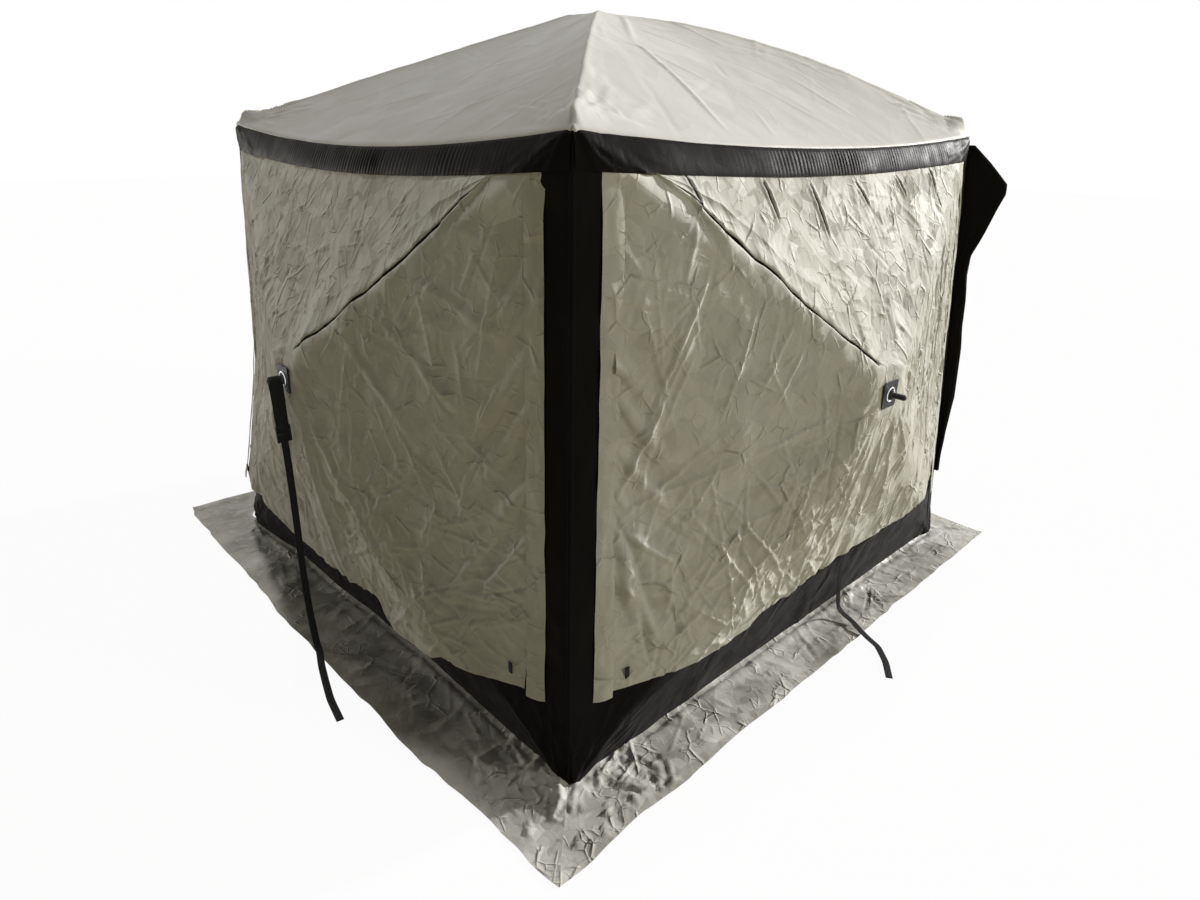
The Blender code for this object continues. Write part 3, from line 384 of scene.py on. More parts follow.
for name, node in NODES.items():
    if "_pole_" in name:
        node.material_slots[0].material = rod_finish.material
    elif name == "door_zip_slider":
        node.material_slots[0].material = zip_metal.material
    elif name.endswith(("_hub", "_boot", "_hub_plate", "_buckle")):
        node.material_slots[0].material = moulded.material
print("materials", len(bpy.data.materials))

# %% [markdown]
# Every wall is a shallow pyramid: the poles push its middle out and its edges stay in the plane of the
# corners. These few numbers and functions are the same as the measured model's, and all
# cloth of a wall is placed with them, each layer a few millimetres over the one below.

# %% Shape of the walls
TOP_HALF = 1.05
BASE_HALF = 1.17
EAVE_HEIGHT = 1.80
PEAK_HEIGHT = 2.20
ROOF_FLAT = 0.085
ROOF_BOWS = (0.050, 0.064, 0.050, 0.004)
HUB_HEIGHT = 1.03
WALL_BULGE = 0.29
HUB_FLAT = 0.052
BAND_DEPTH = 0.084
CORNER_STRIP = 0.075
PLACKET = 0.058
HEM_HEIGHT = 0.290
EAVE_SAG = (0.060, 0.044, 0.055, 0.055)
WALLS = ("front", "right", "back", "left")
LEAN = (TOP_HALF - BASE_HALF) / EAVE_HEIGHT
HUB_HALF = BASE_HALF + LEAN * HUB_HEIGHT
FLAT_SHARE = HUB_FLAT / (EAVE_HEIGHT - HUB_HEIGHT)
APEX = WALL_BULGE / (1.0 - FLAT_SHARE)
EDGE_ROUNDING = 0.025
UP = np.array((0.0, 0.0, 1.0))


def half_width(z):
    """Half the wall's width at height z, and also how far its edges stand from the tent's middle."""
    return BASE_HALF + LEAN * z


def unit(value):
    """A value held between 0 and 1."""
    return np.clip(value, 0, 1)


def smooth_low(a, b):
    """The lower of two values, rounded where they meet."""
    share = unit(0.5 + 0.5 * (b - a) / EDGE_ROUNDING)
    return b * (1 - share) + a * share - EDGE_ROUNDING * share * (1 - share)


def facet_shares(u, z):
    """For each side of the wall's pyramid, 0 on its edge of the wall and 1 at the hub."""
    right = (half_width(z) - u) / HUB_HALF
    left = (half_width(z) + u) / HUB_HALF
    top = (EAVE_HEIGHT - z) / (EAVE_HEIGHT - HUB_HEIGHT)
    bottom = z / HUB_HEIGHT
    return right, left, top, bottom


def bulge(u, z):
    """How far the taut cloth stands out from the plane of the wall's corners."""
    right, left, top, bottom = facet_shares(u, z)
    low = smooth_low(smooth_low(right, left), smooth_low(top, bottom))
    return APEX * np.maximum(smooth_low(low, np.full_like(low, 1.0 - FLAT_SHARE)), 0.0)


def eave(k, u):
    """Height of the roof's sagging edge over wall k."""
    return EAVE_HEIGHT - EAVE_SAG[k] * (1.0 - (u / TOP_HALF) ** 2)


def axes(k):
    """The directions to the right along wall k and out of it."""
    angle = k * math.pi / 2
    along = np.array((math.cos(angle), math.sin(angle), 0.0))
    out = np.array((math.sin(angle), -math.cos(angle), 0.0))
    return along, out


def to_world(k, u, z, depth):
    """Points of wall k: u to the right along it, z up, depth outwards from the tent's middle."""
    along, out = axes(k)
    return u[..., None] * along + depth[..., None] * out + z[..., None] * UP


def on_wall(k, u, z, lift):
    """Points that stand by lift outside the taut cloth of wall k."""
    return to_world(k, u, z, half_width(z) + bulge(u, z) + lift)


print("wall half widths", half_width(0.0), half_width(EAVE_HEIGHT))

# %% [markdown]
# Creased cloth is what makes this tent look real. A sheet that was folded small shows flat facets with
# crisp edges between them, long folds where it is pulled, and fans of folds where it is pinched.
# These helpers make them as heights over the flat cloth. Simulation alone would crumple it at
# random, while here the main folds have to lie where the real ones do, so they are given one by one.

# %% Crease helpers
TABLE_SIZE = 64
TRIANGLE_SKEW = 0.366


def table_of(seed):
    """Random heights from -1 to 1 for the corners of a grid that repeats."""
    return np.random.default_rng(seed).random((TABLE_SIZE, TABLE_SIZE)) * 2 - 1


def facets(x, y, size, seed, turn=0.0):
    """Random flat facets with crisp edges, from -1 to 1."""
    heights = table_of(seed)
    px = (x * math.cos(turn) - y * math.sin(turn)) / size
    py = (x * math.sin(turn) + y * math.cos(turn)) / size
    skew = (px + py) * TRIANGLE_SKEW
    a = px + skew
    b = py + skew
    i = np.floor(a).astype(int)
    j = np.floor(b).astype(int)
    a = a - i
    b = b - j
    corner = heights[i % TABLE_SIZE, j % TABLE_SIZE]
    far = heights[(i + 1) % TABLE_SIZE, (j + 1) % TABLE_SIZE]
    side_first = heights[(i + 1) % TABLE_SIZE, j % TABLE_SIZE]
    side_second = heights[i % TABLE_SIZE, (j + 1) % TABLE_SIZE]
    side = np.where(a > b, side_first, side_second)
    big = np.maximum(a, b)
    small = np.minimum(a, b)
    return corner * (1 - big) + side * (big - small) + far * small


def soft(x, y, size, seed):
    """Smooth random swells, from -1 to 1."""
    heights = table_of(seed)
    px = x / size
    py = y / size
    i = np.floor(px).astype(int)
    j = np.floor(py).astype(int)
    a = px - i
    b = py - j
    a = a * a * (3 - 2 * a)
    b = b * b * (3 - 2 * b)
    i, next_i = i % TABLE_SIZE, (i + 1) % TABLE_SIZE
    j, next_j = j % TABLE_SIZE, (j + 1) % TABLE_SIZE
    low = heights[i, j] * (1 - a) + heights[next_i, j] * a
    high = heights[i, next_j] * (1 - a) + heights[next_i, next_j] * a
    return low * (1 - b) + high * b


def crumple(x, y, seed, large=1.0):
    """Facets of three sizes on warped cloth, in about -1 to 1."""
    wx = x + 0.05 * soft(x, y, 0.22, seed + 1)
    wy = y + 0.05 * soft(x, y, 0.22, seed + 2)
    total = large * facets(wx, wy, 0.21, seed + 3, 0.4)
    total = total + 0.55 * facets(wx, wy, 0.105, seed + 4, 1.3)
    return total + 0.25 * facets(wx, wy, 0.052, seed + 5, 2.2)


def fold(total, x, y, start, end, width, height, sharp=1.0):
    """Add one fold to the heights: a crest from start to end that falls off within its width."""
    (ax, ay), (bx, by) = start, end
    near = (x > min(ax, bx) - width) & (x < max(ax, bx) + width)
    near &= (y > min(ay, by) - width) & (y < max(ay, by) + width)
    if not near.any():
        return
    px = x[near] - ax
    py = y[near] - ay
    length = math.hypot(bx - ax, by - ay)
    dx = (bx - ax) / length
    dy = (by - ay) / length
    way = (px * dx + py * dy) / length
    across = px * -dy + py * dx
    crest = unit(1 - np.abs(across) / width) ** sharp
    crest = crest * (3 - 2 * crest) * 0.35 + crest ** 2 * 0.65
    ends = unit(way * (1 - way) * 4) ** 0.6
    total[near] += height * crest * ends * ((way > 0) & (way < 1))


def slit(total, inner, x, y, start, end, width, height):
    """A thin fold that stands open: two lips, with painted shade between them, marked in inner."""
    (ax, ay), (bx, by) = start, end
    length = math.hypot(bx - ax, by - ay)
    dx = (bx - ax) / length
    dy = (by - ay) / length
    way = ((x - ax) * dx + (y - ay) * dy) / length
    across = (x - ax) * -dy + (y - ay) * dx
    open_half = width / 2 * np.sqrt(unit(way * (1 - way) * 4)) * (1.25 - 0.5 * unit(way))
    along = (way > 0) & (way < 1)
    # Painted shade: the gap between the lips is marked for the near black colour.
    painted_shade = unit((open_half - np.abs(across)) / 0.003 + 0.5) * along
    np.maximum(inner, painted_shade, out=inner)
    for aside in (-1, 1):
        lip = np.exp(-((across - aside * (open_half + 0.006)) / 0.006) ** 2) * along
        total += height * (1.0 if aside > 0 else 0.6) * lip * unit(way * (1 - way) * 6)


def fan(total, x, y, centre, first, last, count, length, width, height, seed, start):
    """Folds that run out from one pinched point between two directions, given in degrees."""
    rng = np.random.default_rng(seed)
    for i in range(count):
        angle = math.radians(first + (last - first) * (i + rng.uniform(0.1, 0.9)) / count)
        reach = length * rng.uniform(0.45, 1.0)
        bend = rng.uniform(-0.12, 0.12)
        c = (centre[0] + math.cos(angle) * start, centre[1] + math.sin(angle) * start)
        middle = (centre[0] + math.cos(angle) * reach * 0.55, centre[1] + math.sin(angle) * reach * 0.55)
        tip = (centre[0] + math.cos(angle + bend) * reach, centre[1] + math.sin(angle + bend) * reach)
        size = height * rng.uniform(0.5, 1.0)
        wide = width * rng.uniform(0.6, 1.2)
        fold(total, x, y, c, middle, wide * 0.8, size, 1.0)
        fold(total, x, y, middle, tip, wide, size * 0.55, 1.0)


def scatter(total, x, y, box, count, length, width, height, seed, slant=None):
    """Short crisp creases at random over a box (low x, low y, high x, high y)."""
    rng = np.random.default_rng(seed)
    for _ in range(count):
        cx = rng.uniform(box[0], box[2])
        cy = rng.uniform(box[1], box[3])
        angle = rng.uniform(0, math.pi) if slant is None else rng.normal(slant[0], slant[1])
        reach = length * rng.uniform(0.35, 1.0) / 2
        shift = (math.cos(angle) * reach, math.sin(angle) * reach)
        size = height * rng.uniform(0.4, 1.0) * rng.choice((-1.0, 1.0), p=(0.35, 0.65))
        fold(total, x, y, (cx - shift[0], cy - shift[1]), (cx + shift[0], cy + shift[1]),
             width * rng.uniform(0.5, 1.2), size)


# %% [markdown]
# A sheet starts as Blender's own grid, and then every point of the grid is moved to its place. The
# flat size of the cut goes into its UV map in metres, for the weave and the creases.

# %% Sheet helpers


def lattice(rows, columns, across, up=(0.0, 1.0)):
    """Two even scales over a grid of points. The first runs across it and the second runs up."""
    first = np.linspace(*across, columns)[None, :].repeat(rows, 0)
    second = np.linspace(*up, rows)[:, None].repeat(columns, 1)
    return first, second


def lay_grid(name, points, flat, finish, inner=None):
    """Make a grid with one point for each of points[row, column] and flat coordinates in metres."""
    rows, columns = points.shape[:2]
    piece = start_piece(name, bpy.ops.mesh.primitive_grid_add, x_subdivisions=columns - 1,
                        y_subdivisions=rows - 1, size=2.0)
    mesh = piece.data
    mesh.name = name
    count = len(mesh.vertices)
    start = np.empty(count * 3)
    mesh.vertices.foreach_get("co", start)
    start = start.reshape(-1, 3)
    column = np.rint((start[:, 0] + 1) / 2 * (columns - 1)).astype(int)
    row = np.rint((start[:, 1] + 1) / 2 * (rows - 1)).astype(int)
    mesh.vertices.foreach_set("co", points[row, column].astype(np.float32).ravel())
    corner = np.empty(len(mesh.loops), dtype=np.int32)
    mesh.loops.foreach_get("vertex_index", corner)
    layer = mesh.uv_layers.active or mesh.uv_layers.new(name="flat")
    layer.name = "flat"
    flat_of = flat[row, column]
    layer.data.foreach_set("uv", flat_of[corner].astype(np.float32).ravel())
    # Painted shade: the attribute inner marks where the silver finish turns near black.
    if inner is not None:
        shade = mesh.attributes.new("inner", "FLOAT", "POINT")
        shade.data.foreach_set("value", inner[row, column].astype(np.float32).ravel())
    mesh.materials.clear()
    mesh.materials.append(finish.material)
    mesh.shade_smooth()
    mesh.update()
    return piece


def flatten_with_hub(piece):
    """Give the piece a mesh of its own."""
    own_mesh(piece)


def sew_sheet(name, points, flat, finish, k=None, replaced=None, inner=None,
              trim=None):
    """Make a piece of cloth that rides on the tent. With a wall k, it gets a mesh of its own."""
    piece = lay_grid(name, points, np.stack(flat, -1), finish, inner)
    if trim:
        trim(piece)
    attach(piece, ROOT)
    if replaced:
        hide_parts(replaced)
    if k is not None:
        flatten_with_hub(piece)
    return piece


def rounded(line, rounds):
    """Round a row of points in place by averaging each with its neighbours."""
    for _ in range(rounds):
        line[1:-1] = (line[:-2] + line[1:-1] * 2 + line[2:]) / 4
    return line


def way_along(line):
    """How far each point of a line is from its start, measured along it."""
    return np.concatenate(([0], np.cumsum(np.linalg.norm(np.diff(line, axis=0), axis=1))))


# %% [markdown]
# Folds that only follow noise look painted on. So each wind panel is settled first: every thread of
# the sheet keeps its cut length, the sheet is held where it is sewn or pinned, and it can't sink
# into the wall. The cut is a little too long for the pyramid's edges, as on the real tent, so
# the spare cloth has to buckle, and it does that where the listed folds are started.

# %% Cloth settler


def pull(a, b, rest, free_a, free_b, stiff):
    """Move two sets of points towards their rest distance, each by its share of freedom."""
    gap = b - a
    length = np.sqrt((gap * gap).sum(-1)) + 1e-9
    gap *= (stiff * (length - rest) / (length * (free_a + free_b + 1e-9)))[..., None]
    a += gap * free_a[..., None]
    b -= gap * free_b[..., None]


DIAGONAL = 0.35
BEND = 0.2
WEIGHT = 0.7e-5
SWING = 0.9


def settle(p, cut, free, under, rounds):
    """Let a sheet of points (u, z, depth) come to rest. cut holds its flat pattern."""
    before = p.copy()
    slices = []
    # Neighbours along and across, then diagonal ones, then every second one, which resists bending.
    for s in (0, 1):
        slices.append(((slice(None), slice(s, -1, 2)), (slice(None), slice(s + 1, None, 2)), 1.0))
        slices.append(((slice(s, -1, 2), slice(None)), (slice(s + 1, None, 2), slice(None)), 1.0))
    for s in (0, 1):
        slices.append(((slice(s, -1, 2), slice(0, -1)), (slice(s + 1, None, 2), slice(1, None)), DIAGONAL))
        slices.append(((slice(s, -1, 2), slice(1, None)), (slice(s + 1, None, 2), slice(0, -1)), DIAGONAL))
    for s in (0, 1, 2, 3):
        slices.append(((slice(None), slice(s, -2, 4)), (slice(None), slice(s + 2, None, 4)), BEND))
        slices.append(((slice(s, -2, 4), slice(None)), (slice(s + 2, None, 4), slice(None)), BEND))
    threads = [(i, j, np.linalg.norm(cut[j] - cut[i], axis=-1), stiff) for i, j, stiff in slices]
    for _ in range(rounds):
        step = (p - before) * SWING
        before = p.copy()
        p += step * free[..., None]
        p[..., 1] -= WEIGHT * free
        for i, j, rest, stiff in threads:
            pull(p[i], p[j], rest, free[i], free[j], stiff)
        p[..., 2] = np.maximum(p[..., 2], under(p[..., 0], p[..., 1]))
    return p


def finer(grid):
    """Twice as many cells each way."""
    rows, columns = grid.shape[:2]
    made = np.empty((2 * rows - 1, 2 * columns - 1) + grid.shape[2:])
    made[::2, ::2] = grid
    made[1::2, ::2] = (grid[:-1] + grid[1:]) / 2
    made[:, 1::2] = (made[:, :-1:2] + made[:, 2::2]) / 2
    return made


# %% [markdown]
# The wind panels are the large silver sheets. Each hangs from under the black band, is pinned by the
# hub's plate in the middle and caught by the closing strip at a few places down each side. Long
# folds run from the hub and from those places, and the lower edge hangs clear of the black cloth.

# %% Wind panels
PANEL_LAP = 0.022
TUCK = CORNER_STRIP + PLACKET - PANEL_LAP
HEM_LINE = {
    0: (
        (-1.02, 0.3), (-0.6, 0.3), (-0.34, 0.27), (-0.06, 0.284), (0.06, 0.29), (0.325, 0.362),
        (0.374, 0.366), (0.402, 0.238), (0.45, 0.248), (0.543, 0.272), (0.646, 0.277), (0.7, 0.312),
        (0.76, 0.298), (0.905, 0.292), (1.02, 0.285),
    ),
    1: (
        (-1.02, 0.297), (-0.823, 0.304), (-0.672, 0.314), (-0.576, 0.325), (-0.496, 0.337),
        (-0.437, 0.368), (-0.41, 0.374), (-0.09, 0.374), (0.347, 0.39), (0.485, 0.372), (1.02, 0.36),
    ),
}
HEM_LINE[3] = tuple((-u, z) for u, z in reversed(HEM_LINE[0]))
PINS = {0: {-1: (0.97, 1.75), 1: (0.60, 1.75)}, 1: {-1: (0.62, 1.22), 1: (0.60, 1.75)}}
SLIT_TOP = 0.620
STAND_OFF = {0: 0.074, 1: 0.032, 3: 0.060}
HANG_TOP = HUB_HEIGHT - 0.12
HANG_FADE = 0.42
CLOTH_GAP = 0.0035
CLAMP_DIP = 0.0030
CLAMP_REACH = 0.075
CLAMPED = 0.064
FREE_CORNER = {0: 0.044, 1: 0.026, 3: 0.044}
OPEN_SIDE = {0: 1.0, 1: -1.0, 3: -1.0}


def hem(k, u):
    """Height of the free lower edge of a wind panel, along a width counted from -1 to 1."""
    return np.interp(u, *np.array(HEM_LINE[k]).T)


def panel_ends(k, s):
    """Heights of a wind panel's lower and upper edges at share s of its width."""
    return hem(k, s), eave(k, 0.97 * s) - BAND_DEPTH + 0.006


def hang(k, u, z):
    """How far the free lower part of a wind panel stands off the wall behind it."""
    drop = unit((HANG_TOP - z) / (HANG_TOP - HEM_HEIGHT))
    side = unit((half_width(z) - CORNER_STRIP - PLACKET * 0.5 - np.abs(u)) / HANG_FADE)
    side = side * side * (3 - 2 * side)
    if k == 0:
        side = np.maximum(side, unit((-u - 0.45) / 0.4))
    return STAND_OFF[k] * drop ** 1.2 * side


def surface(u, z):
    """What a wind panel rests on, drawn in where the hub's plate clamps it."""
    clamp = np.exp(-(np.hypot(u, z - HUB_HEIGHT) / CLAMP_REACH) ** 6)
    return half_width(z) + bulge(u, z) + CLOTH_GAP - CLAMP_DIP * clamp


# %% [markdown]
# The main folds were read off the real walls one by one. Each is a start and an end on the wall, with a
# width and a height in millimetres, which the seeding and the creasing below scale to their needs.
# The tucks stand open under the band: a start, an end and a width. The fans lie round the hub: first
# and last direction in degrees, count, length, width and height.

# %% Table of folds
FOLDS = {
    1: (
        (-1.0, 0.87, -0.68, 1.49, 16, 9), (-1.0, 0.86, -0.73, 1.34, 14, 9),
        (-0.99, 0.88, -0.83, 1.17, 14, 8), (-1.0, 0.82, -0.62, 1.04, 16, 8),
        (-0.93, 0.87, -0.56, 0.94, 12, 8), (-0.56, 0.94, -0.24, 1.015, 12, 9),
        (-1.0, 0.81, -0.93, 0.5, 30, 20), (-0.99, 0.8, -0.88, 0.43, 26, 16),
        (-0.99, 0.76, -0.96, 0.54, 18, 12), (-0.97, 0.79, -0.8, 0.66, 20, 12),
        (-0.77, 0.83, -0.51, 0.46, 14, 8), (-0.64, 0.81, -0.33, 0.44, 14, 8),
        (-0.06, 0.97, -0.22, 0.52, 14, 9), (-0.04, 0.96, -0.1, 0.6, 12, 9),
        (0.02, 0.96, 0.04, 0.55, 12, 8), (0.06, 0.97, 0.22, 0.5, 14, 8),
        (-0.08, 0.98, -0.36, 0.56, 16, 7), (-0.74, 1.26, -0.86, 1.04, 12, 6),
        (-0.77, 0.72, -0.83, 0.61, 12, 6), (-0.535, 1.38, -0.657, 1.06, 12, 7),
        (-0.37, 1.24, -0.47, 1.09, 12, 6), (-0.635, 0.75, -0.41, 0.33, 12, 7),
        (-0.69, 0.92, -0.6, 0.34, 11, 7), (-0.89, 1.4, -0.8, 1.05, 10, 5),
        (-0.46, 0.86, -0.2, 0.74, 11, 6), (-0.56, 0.93, -0.44, 0.76, 11, 6),
        (-0.3, 0.9, -0.44, 0.6, 10, 5), (-0.8, 0.55, -0.62, 0.4, 14, 9), (-0.84, 0.42, -0.7, 0.52, 14, 9),
    ),
    0: (
        (0.546, 0.857, 0.432, 1.05, 12, 5), (0.66, 0.727, 0.98, 0.701, 12, 5),
        (0.808, 0.771, 0.661, 0.978, 12, 5), (0.92, 0.92, 0.75, 1.03, 12, 4),
        (0.2, 0.45, 0.5, 0.62, 14, 6), (0.5, 0.62, 0.66, 0.655, 14, 6), (0.81, 0.83, 0.99, 0.78, 12, 5),
        (0.64, 0.64, 0.717, 0.386, 14, 7), (0.54, 0.62, 0.7, 0.44, 12, 4),
        (0.08, 0.97, 0.28, 0.48, 26, 9), (0.1, 0.98, 0.56, 0.46, 30, 8), (0.06, 0.95, 0.13, 0.4, 22, 7),
        (1.0, 0.78, 0.86, 0.58, 14, 8), (0.9, 0.66, 1.0, 0.56, 11, 6), (0.66, 0.66, 0.68, 0.8, 11, 6),
        (0.7, 0.43, 0.62, 0.52, 11, 6), (0.7, 0.42, 0.8, 0.47, 11, 6), (0.7, 0.41, 0.86, 0.38, 11, 5),
        (0.71, 0.4, 0.82, 0.32, 12, 7), (0.69, 0.42, 0.69, 0.56, 10, 5), (0.78, 0.55, 0.94, 0.56, 11, 6),
        (0.66, 0.8, 0.5, 1.02, 10, 4), (0.4, 0.98, 0.52, 0.8, 10, 4), (0.88, 1.2, 0.8, 1.02, 10, 4),
        (0.3, 1.24, 0.62, 0.94, 30, 6), (0.42, 1.33, 0.76, 1.08, 30, 6), (0.56, 1.44, 0.9, 1.3, 34, 6),
    ),
}
TUCKS = {
    1: (
        ((-0.409, 1.7), (-0.378, 1.565), 11), ((-0.175, 1.685), (-0.145, 1.505), 9),
        ((0.068, 1.7), (0.141, 1.57), 9), ((0.62, 1.715), (0.645, 1.535), 11),
        ((-0.725, 1.712), (-0.7, 1.62), 9), ((0.36, 1.68), (0.4, 1.6), 6),
    ),
}
HUB_FANS = ((24, 156, 9, 0.50, 0.020, 0.004), (204, 336, 8, 0.55, 0.022, 0.005),
            (-22, 22, 6, 0.70, 0.020, 0.004), (158, 202, 5, 0.60, 0.022, 0.004))
print("folds", {WALLS[k]: len(rows) for k, rows in FOLDS.items()})

# %% Settling of the wind panels
SEED_WIDTH = 0.0012
SEED_HEIGHT = 0.0011
ROUGH_START = 0.001
ROUGH_FINER = 0.0003
TOP_PIN = 1.47


def seed_folds(k, u, z):
    """Where folds start: heights over the taut wall, in metres."""
    total = np.zeros_like(u)
    for ax, az, bx, bz, width, height in FOLDS[k]:
        fold(total, u, z, (ax, az), (bx, bz), width * SEED_WIDTH, height * SEED_HEIGHT)
    for i, sizes in enumerate(HUB_FANS):
        fan(total, u, z, (0.0, HUB_HEIGHT), *sizes, 200 + 10 * i + k, 0.07)
    return total + 0.004 * (1 + facets(u, z, 0.17, 240 + k, 0.5)) + 0.002 * facets(u, z, 0.08, 250 + k, 1.1)


def edge_inset(k, s, z):
    """How far the panel's free lower corner draws back from the closing strip."""
    drop = unit((SLIT_TOP - z) / (SLIT_TOP - HEM_HEIGHT))
    return FREE_CORNER[k] * drop * unit((s * OPEN_SIDE[k] - 0.70) / 0.30)


def panel_grid(k, rows, columns):
    """Shares s and t of a wind panel's width and height, and each point's place (u, z) on the wall."""
    s, t = lattice(rows, columns, (-1, 1))
    low, high = panel_ends(k, s)
    z = low + (high - low) * t
    u = (half_width(z) - TUCK) * s
    return s, t, u - np.sign(s) * edge_inset(k, s, z), z


def settle_panel(k, slack):
    """Let a wind panel's folds form, on a coarse grid first and then on two finer ones."""
    rng = np.random.default_rng(40 + k)
    p = None
    for rows, columns, rounds in ((65, 97, 320), (129, 193, 160), (257, 385, 45)):
        s, _, u, z = panel_grid(k, rows, columns)
        taut = np.stack((u, z, surface(u, z)), -1)
        if p is None:
            p = taut.copy()
            p[..., 2] += seed_folds(k, u, z) + ROUGH_START * rng.random(u.shape)
        else:
            p = finer(p)
            p[..., 2] += ROUGH_FINER * rng.random(u.shape)
        cut = taut * np.array((slack[0], slack[1], (slack[0] + slack[1]) / 2))
        free = np.ones_like(u)
        free[-1] = 0.0
        for sign, (low, high) in PINS[k].items():
            free[(s * sign > 0.999) & (z > low) & (z < high)] = 0.0
        if k == 1:
            free[(s < -0.999) & (z > TOP_PIN)] = 0.0
        free[np.hypot(u, z - HUB_HEIGHT) < CLAMPED] = 0.0
        held = free == 0.0
        p[held] = taut[held]
        p = settle(p, cut, free, surface, rounds)
    lift = p[..., 2] - surface(p[..., 0], p[..., 1])
    print(WALLS[k], "settled, folds up to", round(float(lift.max()), 3), "mean", round(float(lift.mean()), 4))
    return p


# %% [markdown]
# The settled shape is soft, as fresh cloth. The bag's hard creases are laid over it: facets, the main
# folds once more with sharp crests, and short creases at random. Each pair of values is for the front
# wall and the right wall, where the sun grazes the cloth and the creases have to stay lower.

# %% Creases of the wind panels
CREASE_HEIGHT = (0.0062, 0.0080)
CREASE_CALM = (0.3, 0.65)
FOLD_CREST = (0.00120, 0.00085)
UPPER_HEIGHT = (0.0036, 0.0018)
LOW_BOX = ((0.2, 0.3, 1.0, 0.80), (-1.0, 0.3, -0.1, 0.85))
PULL_COUNT = 44
PULL_WIDTH = 0.010


def crisp(k, u, z):
    """Hard creases that stay in the cloth from its bag, and the folds that the pull of the poles makes."""
    above = unit((z - 1.10 - 0.70 * np.abs(u)) / 0.06)
    total = CREASE_HEIGHT[k] * crumple(u, z, 100 + 17 * k, 0.7) * (1 - CREASE_CALM[k] * above)
    for ax, az, bx, bz, width, height in FOLDS[k]:
        fold(total, u, z, (ax, az), (bx, bz), width * 0.00075, height * FOLD_CREST[k], 0.9)
    lines = np.zeros_like(u)
    box = (-1.0, HEM_HEIGHT, 1.0, 1.70)
    scatter(lines, u, z, box, 230, 0.24, 0.012, 0.0036, 600 + k)
    scatter(lines, u, z, box, 90, 0.40, 0.012, 0.0036, 610 + k, (1.15, 0.4))
    total += lines * (1.3 - 0.5 * above * k)
    scatter(total, u, z, (-0.85, 1.22, 0.85, 1.72), 170, 0.22, 0.010, UPPER_HEIGHT[k], 620 + k)
    scatter(total, u, z, LOW_BOX[k], 140, 0.24, 0.012, 0.0062, 630 + k)
    if k == 1:
        rng = np.random.default_rng(640)
        for i in range(PULL_COUNT):
            top = 0.22 + 0.80 * i / (PULL_COUNT - 1) + rng.uniform(-0.01, 0.01)
            low = 0.10 + 0.92 * i / (PULL_COUNT - 1)
            start = (top, 1.03 + 0.72 * top - 0.02)
            end = ((top + low) / 2 + 0.02, 1.03 - 0.80 * low + 0.05 * rng.random())
            fold(total, u, z, start, end, PULL_WIDTH, rng.uniform(0.003, 0.0065), 0.9)
    return total * unit((np.hypot(u, z - HUB_HEIGHT) - CLAMPED) / 0.08)


def round_hub(u, z):
    """0 under the hub's plate, growing to 1 where the cloth is free to crease."""
    return unit((np.hypot(u, z - HUB_HEIGHT) - 0.058) / 0.150)


settled = {0: settle_panel(0, (1.0046, 1.0038)), 1: settle_panel(1, (1.0046, 1.0042))}
shapes = {}
for k in (0, 1):
    p = settled[k]
    s, t, u, z = panel_grid(k, *p.shape[:2])
    inner = unit((1 - np.abs(s)) / 0.05) * unit((1 - t) / 0.03)
    depth = p[..., 2] + crisp(k, u, z) * (0.25 + 0.75 * inner) + hang(k, p[..., 0], p[..., 1])
    taut = surface(p[..., 0], p[..., 1])
    depth = taut + np.maximum(depth - taut, -0.001) * round_hub(u, z)
    shapes[k] = np.stack((p[..., 0], p[..., 1], depth), -1)
shapes[3] = shapes[0][::2, ::-2].copy()
shapes[3][..., 0] *= -1


def make_wind_panel(k):
    u, z = panel_grid(k, *shapes[k].shape[:2])[2:]
    points = to_world(k, *np.moveaxis(shapes[k], -1, 0))
    sew_sheet(WALLS[k] + "_wind_cloth", points, (u, z), silver,
              k, WALLS[k] + "_wind_panel")


for k in shapes:
    make_wind_panel(k)

# %% [markdown]
# The slack upper part of each panel slides down over the taut cloth along the poles. There it ends in
# a rolled fold with a groove under it, and the groove is painted near black as shade. It is a second
# layer over the top of the panel, with the same folds, that sinks back into the panel where the real
# one has no such edge. Where the right panel is tucked under the band, short slits stand open, painted
# near black inside as shade.

# %% Overhanging top folds
FOLD_LINE = {
    0: (
        (0.835, 1.712), (0.787, 1.683), (0.686, 1.59), (0.555, 1.479), (0.36, 1.34), (0.097, 1.161),
        (0.02, 1.118),
    ),
    1: (
        (-0.865, 1.722), (-0.82, 1.704), (-0.728, 1.645), (-0.639, 1.56), (-0.474, 1.443),
        (-0.319, 1.316), (-0.074, 1.15), (-0.01, 1.118),
    ),
}
FOLD_LINE[3] = tuple((-u, z) for u, z in FOLD_LINE[0])
# Each row of LIP is a distance above the line, a rise over the cloth, and 1 where the groove is painted in
# shade.
LIP = (
    (-0.13, -0.004, 0), (-0.08, 0.0002, 0), (-0.04, 0.0046, 0), (-0.016, 0.0094, 0), (-0.005, 0.0118, 0),
    (0.0005, 0.0108, 0), (0.0022, 0.006, 1), (0.003, 0.0008, 1), (0.0095, 0.0003, 1), (0.0106, 0.006, 1),
    (0.0122, 0.0102, 0), (0.018, 0.0124, 0), (0.032, 0.0118, 0), (0.055, 0.0096, 0), (0.095, 0.0072, 0),
)
LIP_SIZE = {0: 0.75, 1: 1.05, 3: 0.75}
LIP_DEPTH = 0.02
FOLD_FOOT = 1.118
PINCH_COUNT = 26
LIP_GRID = {0: (460, 120), 1: (460, 120), 3: (200, 50)}


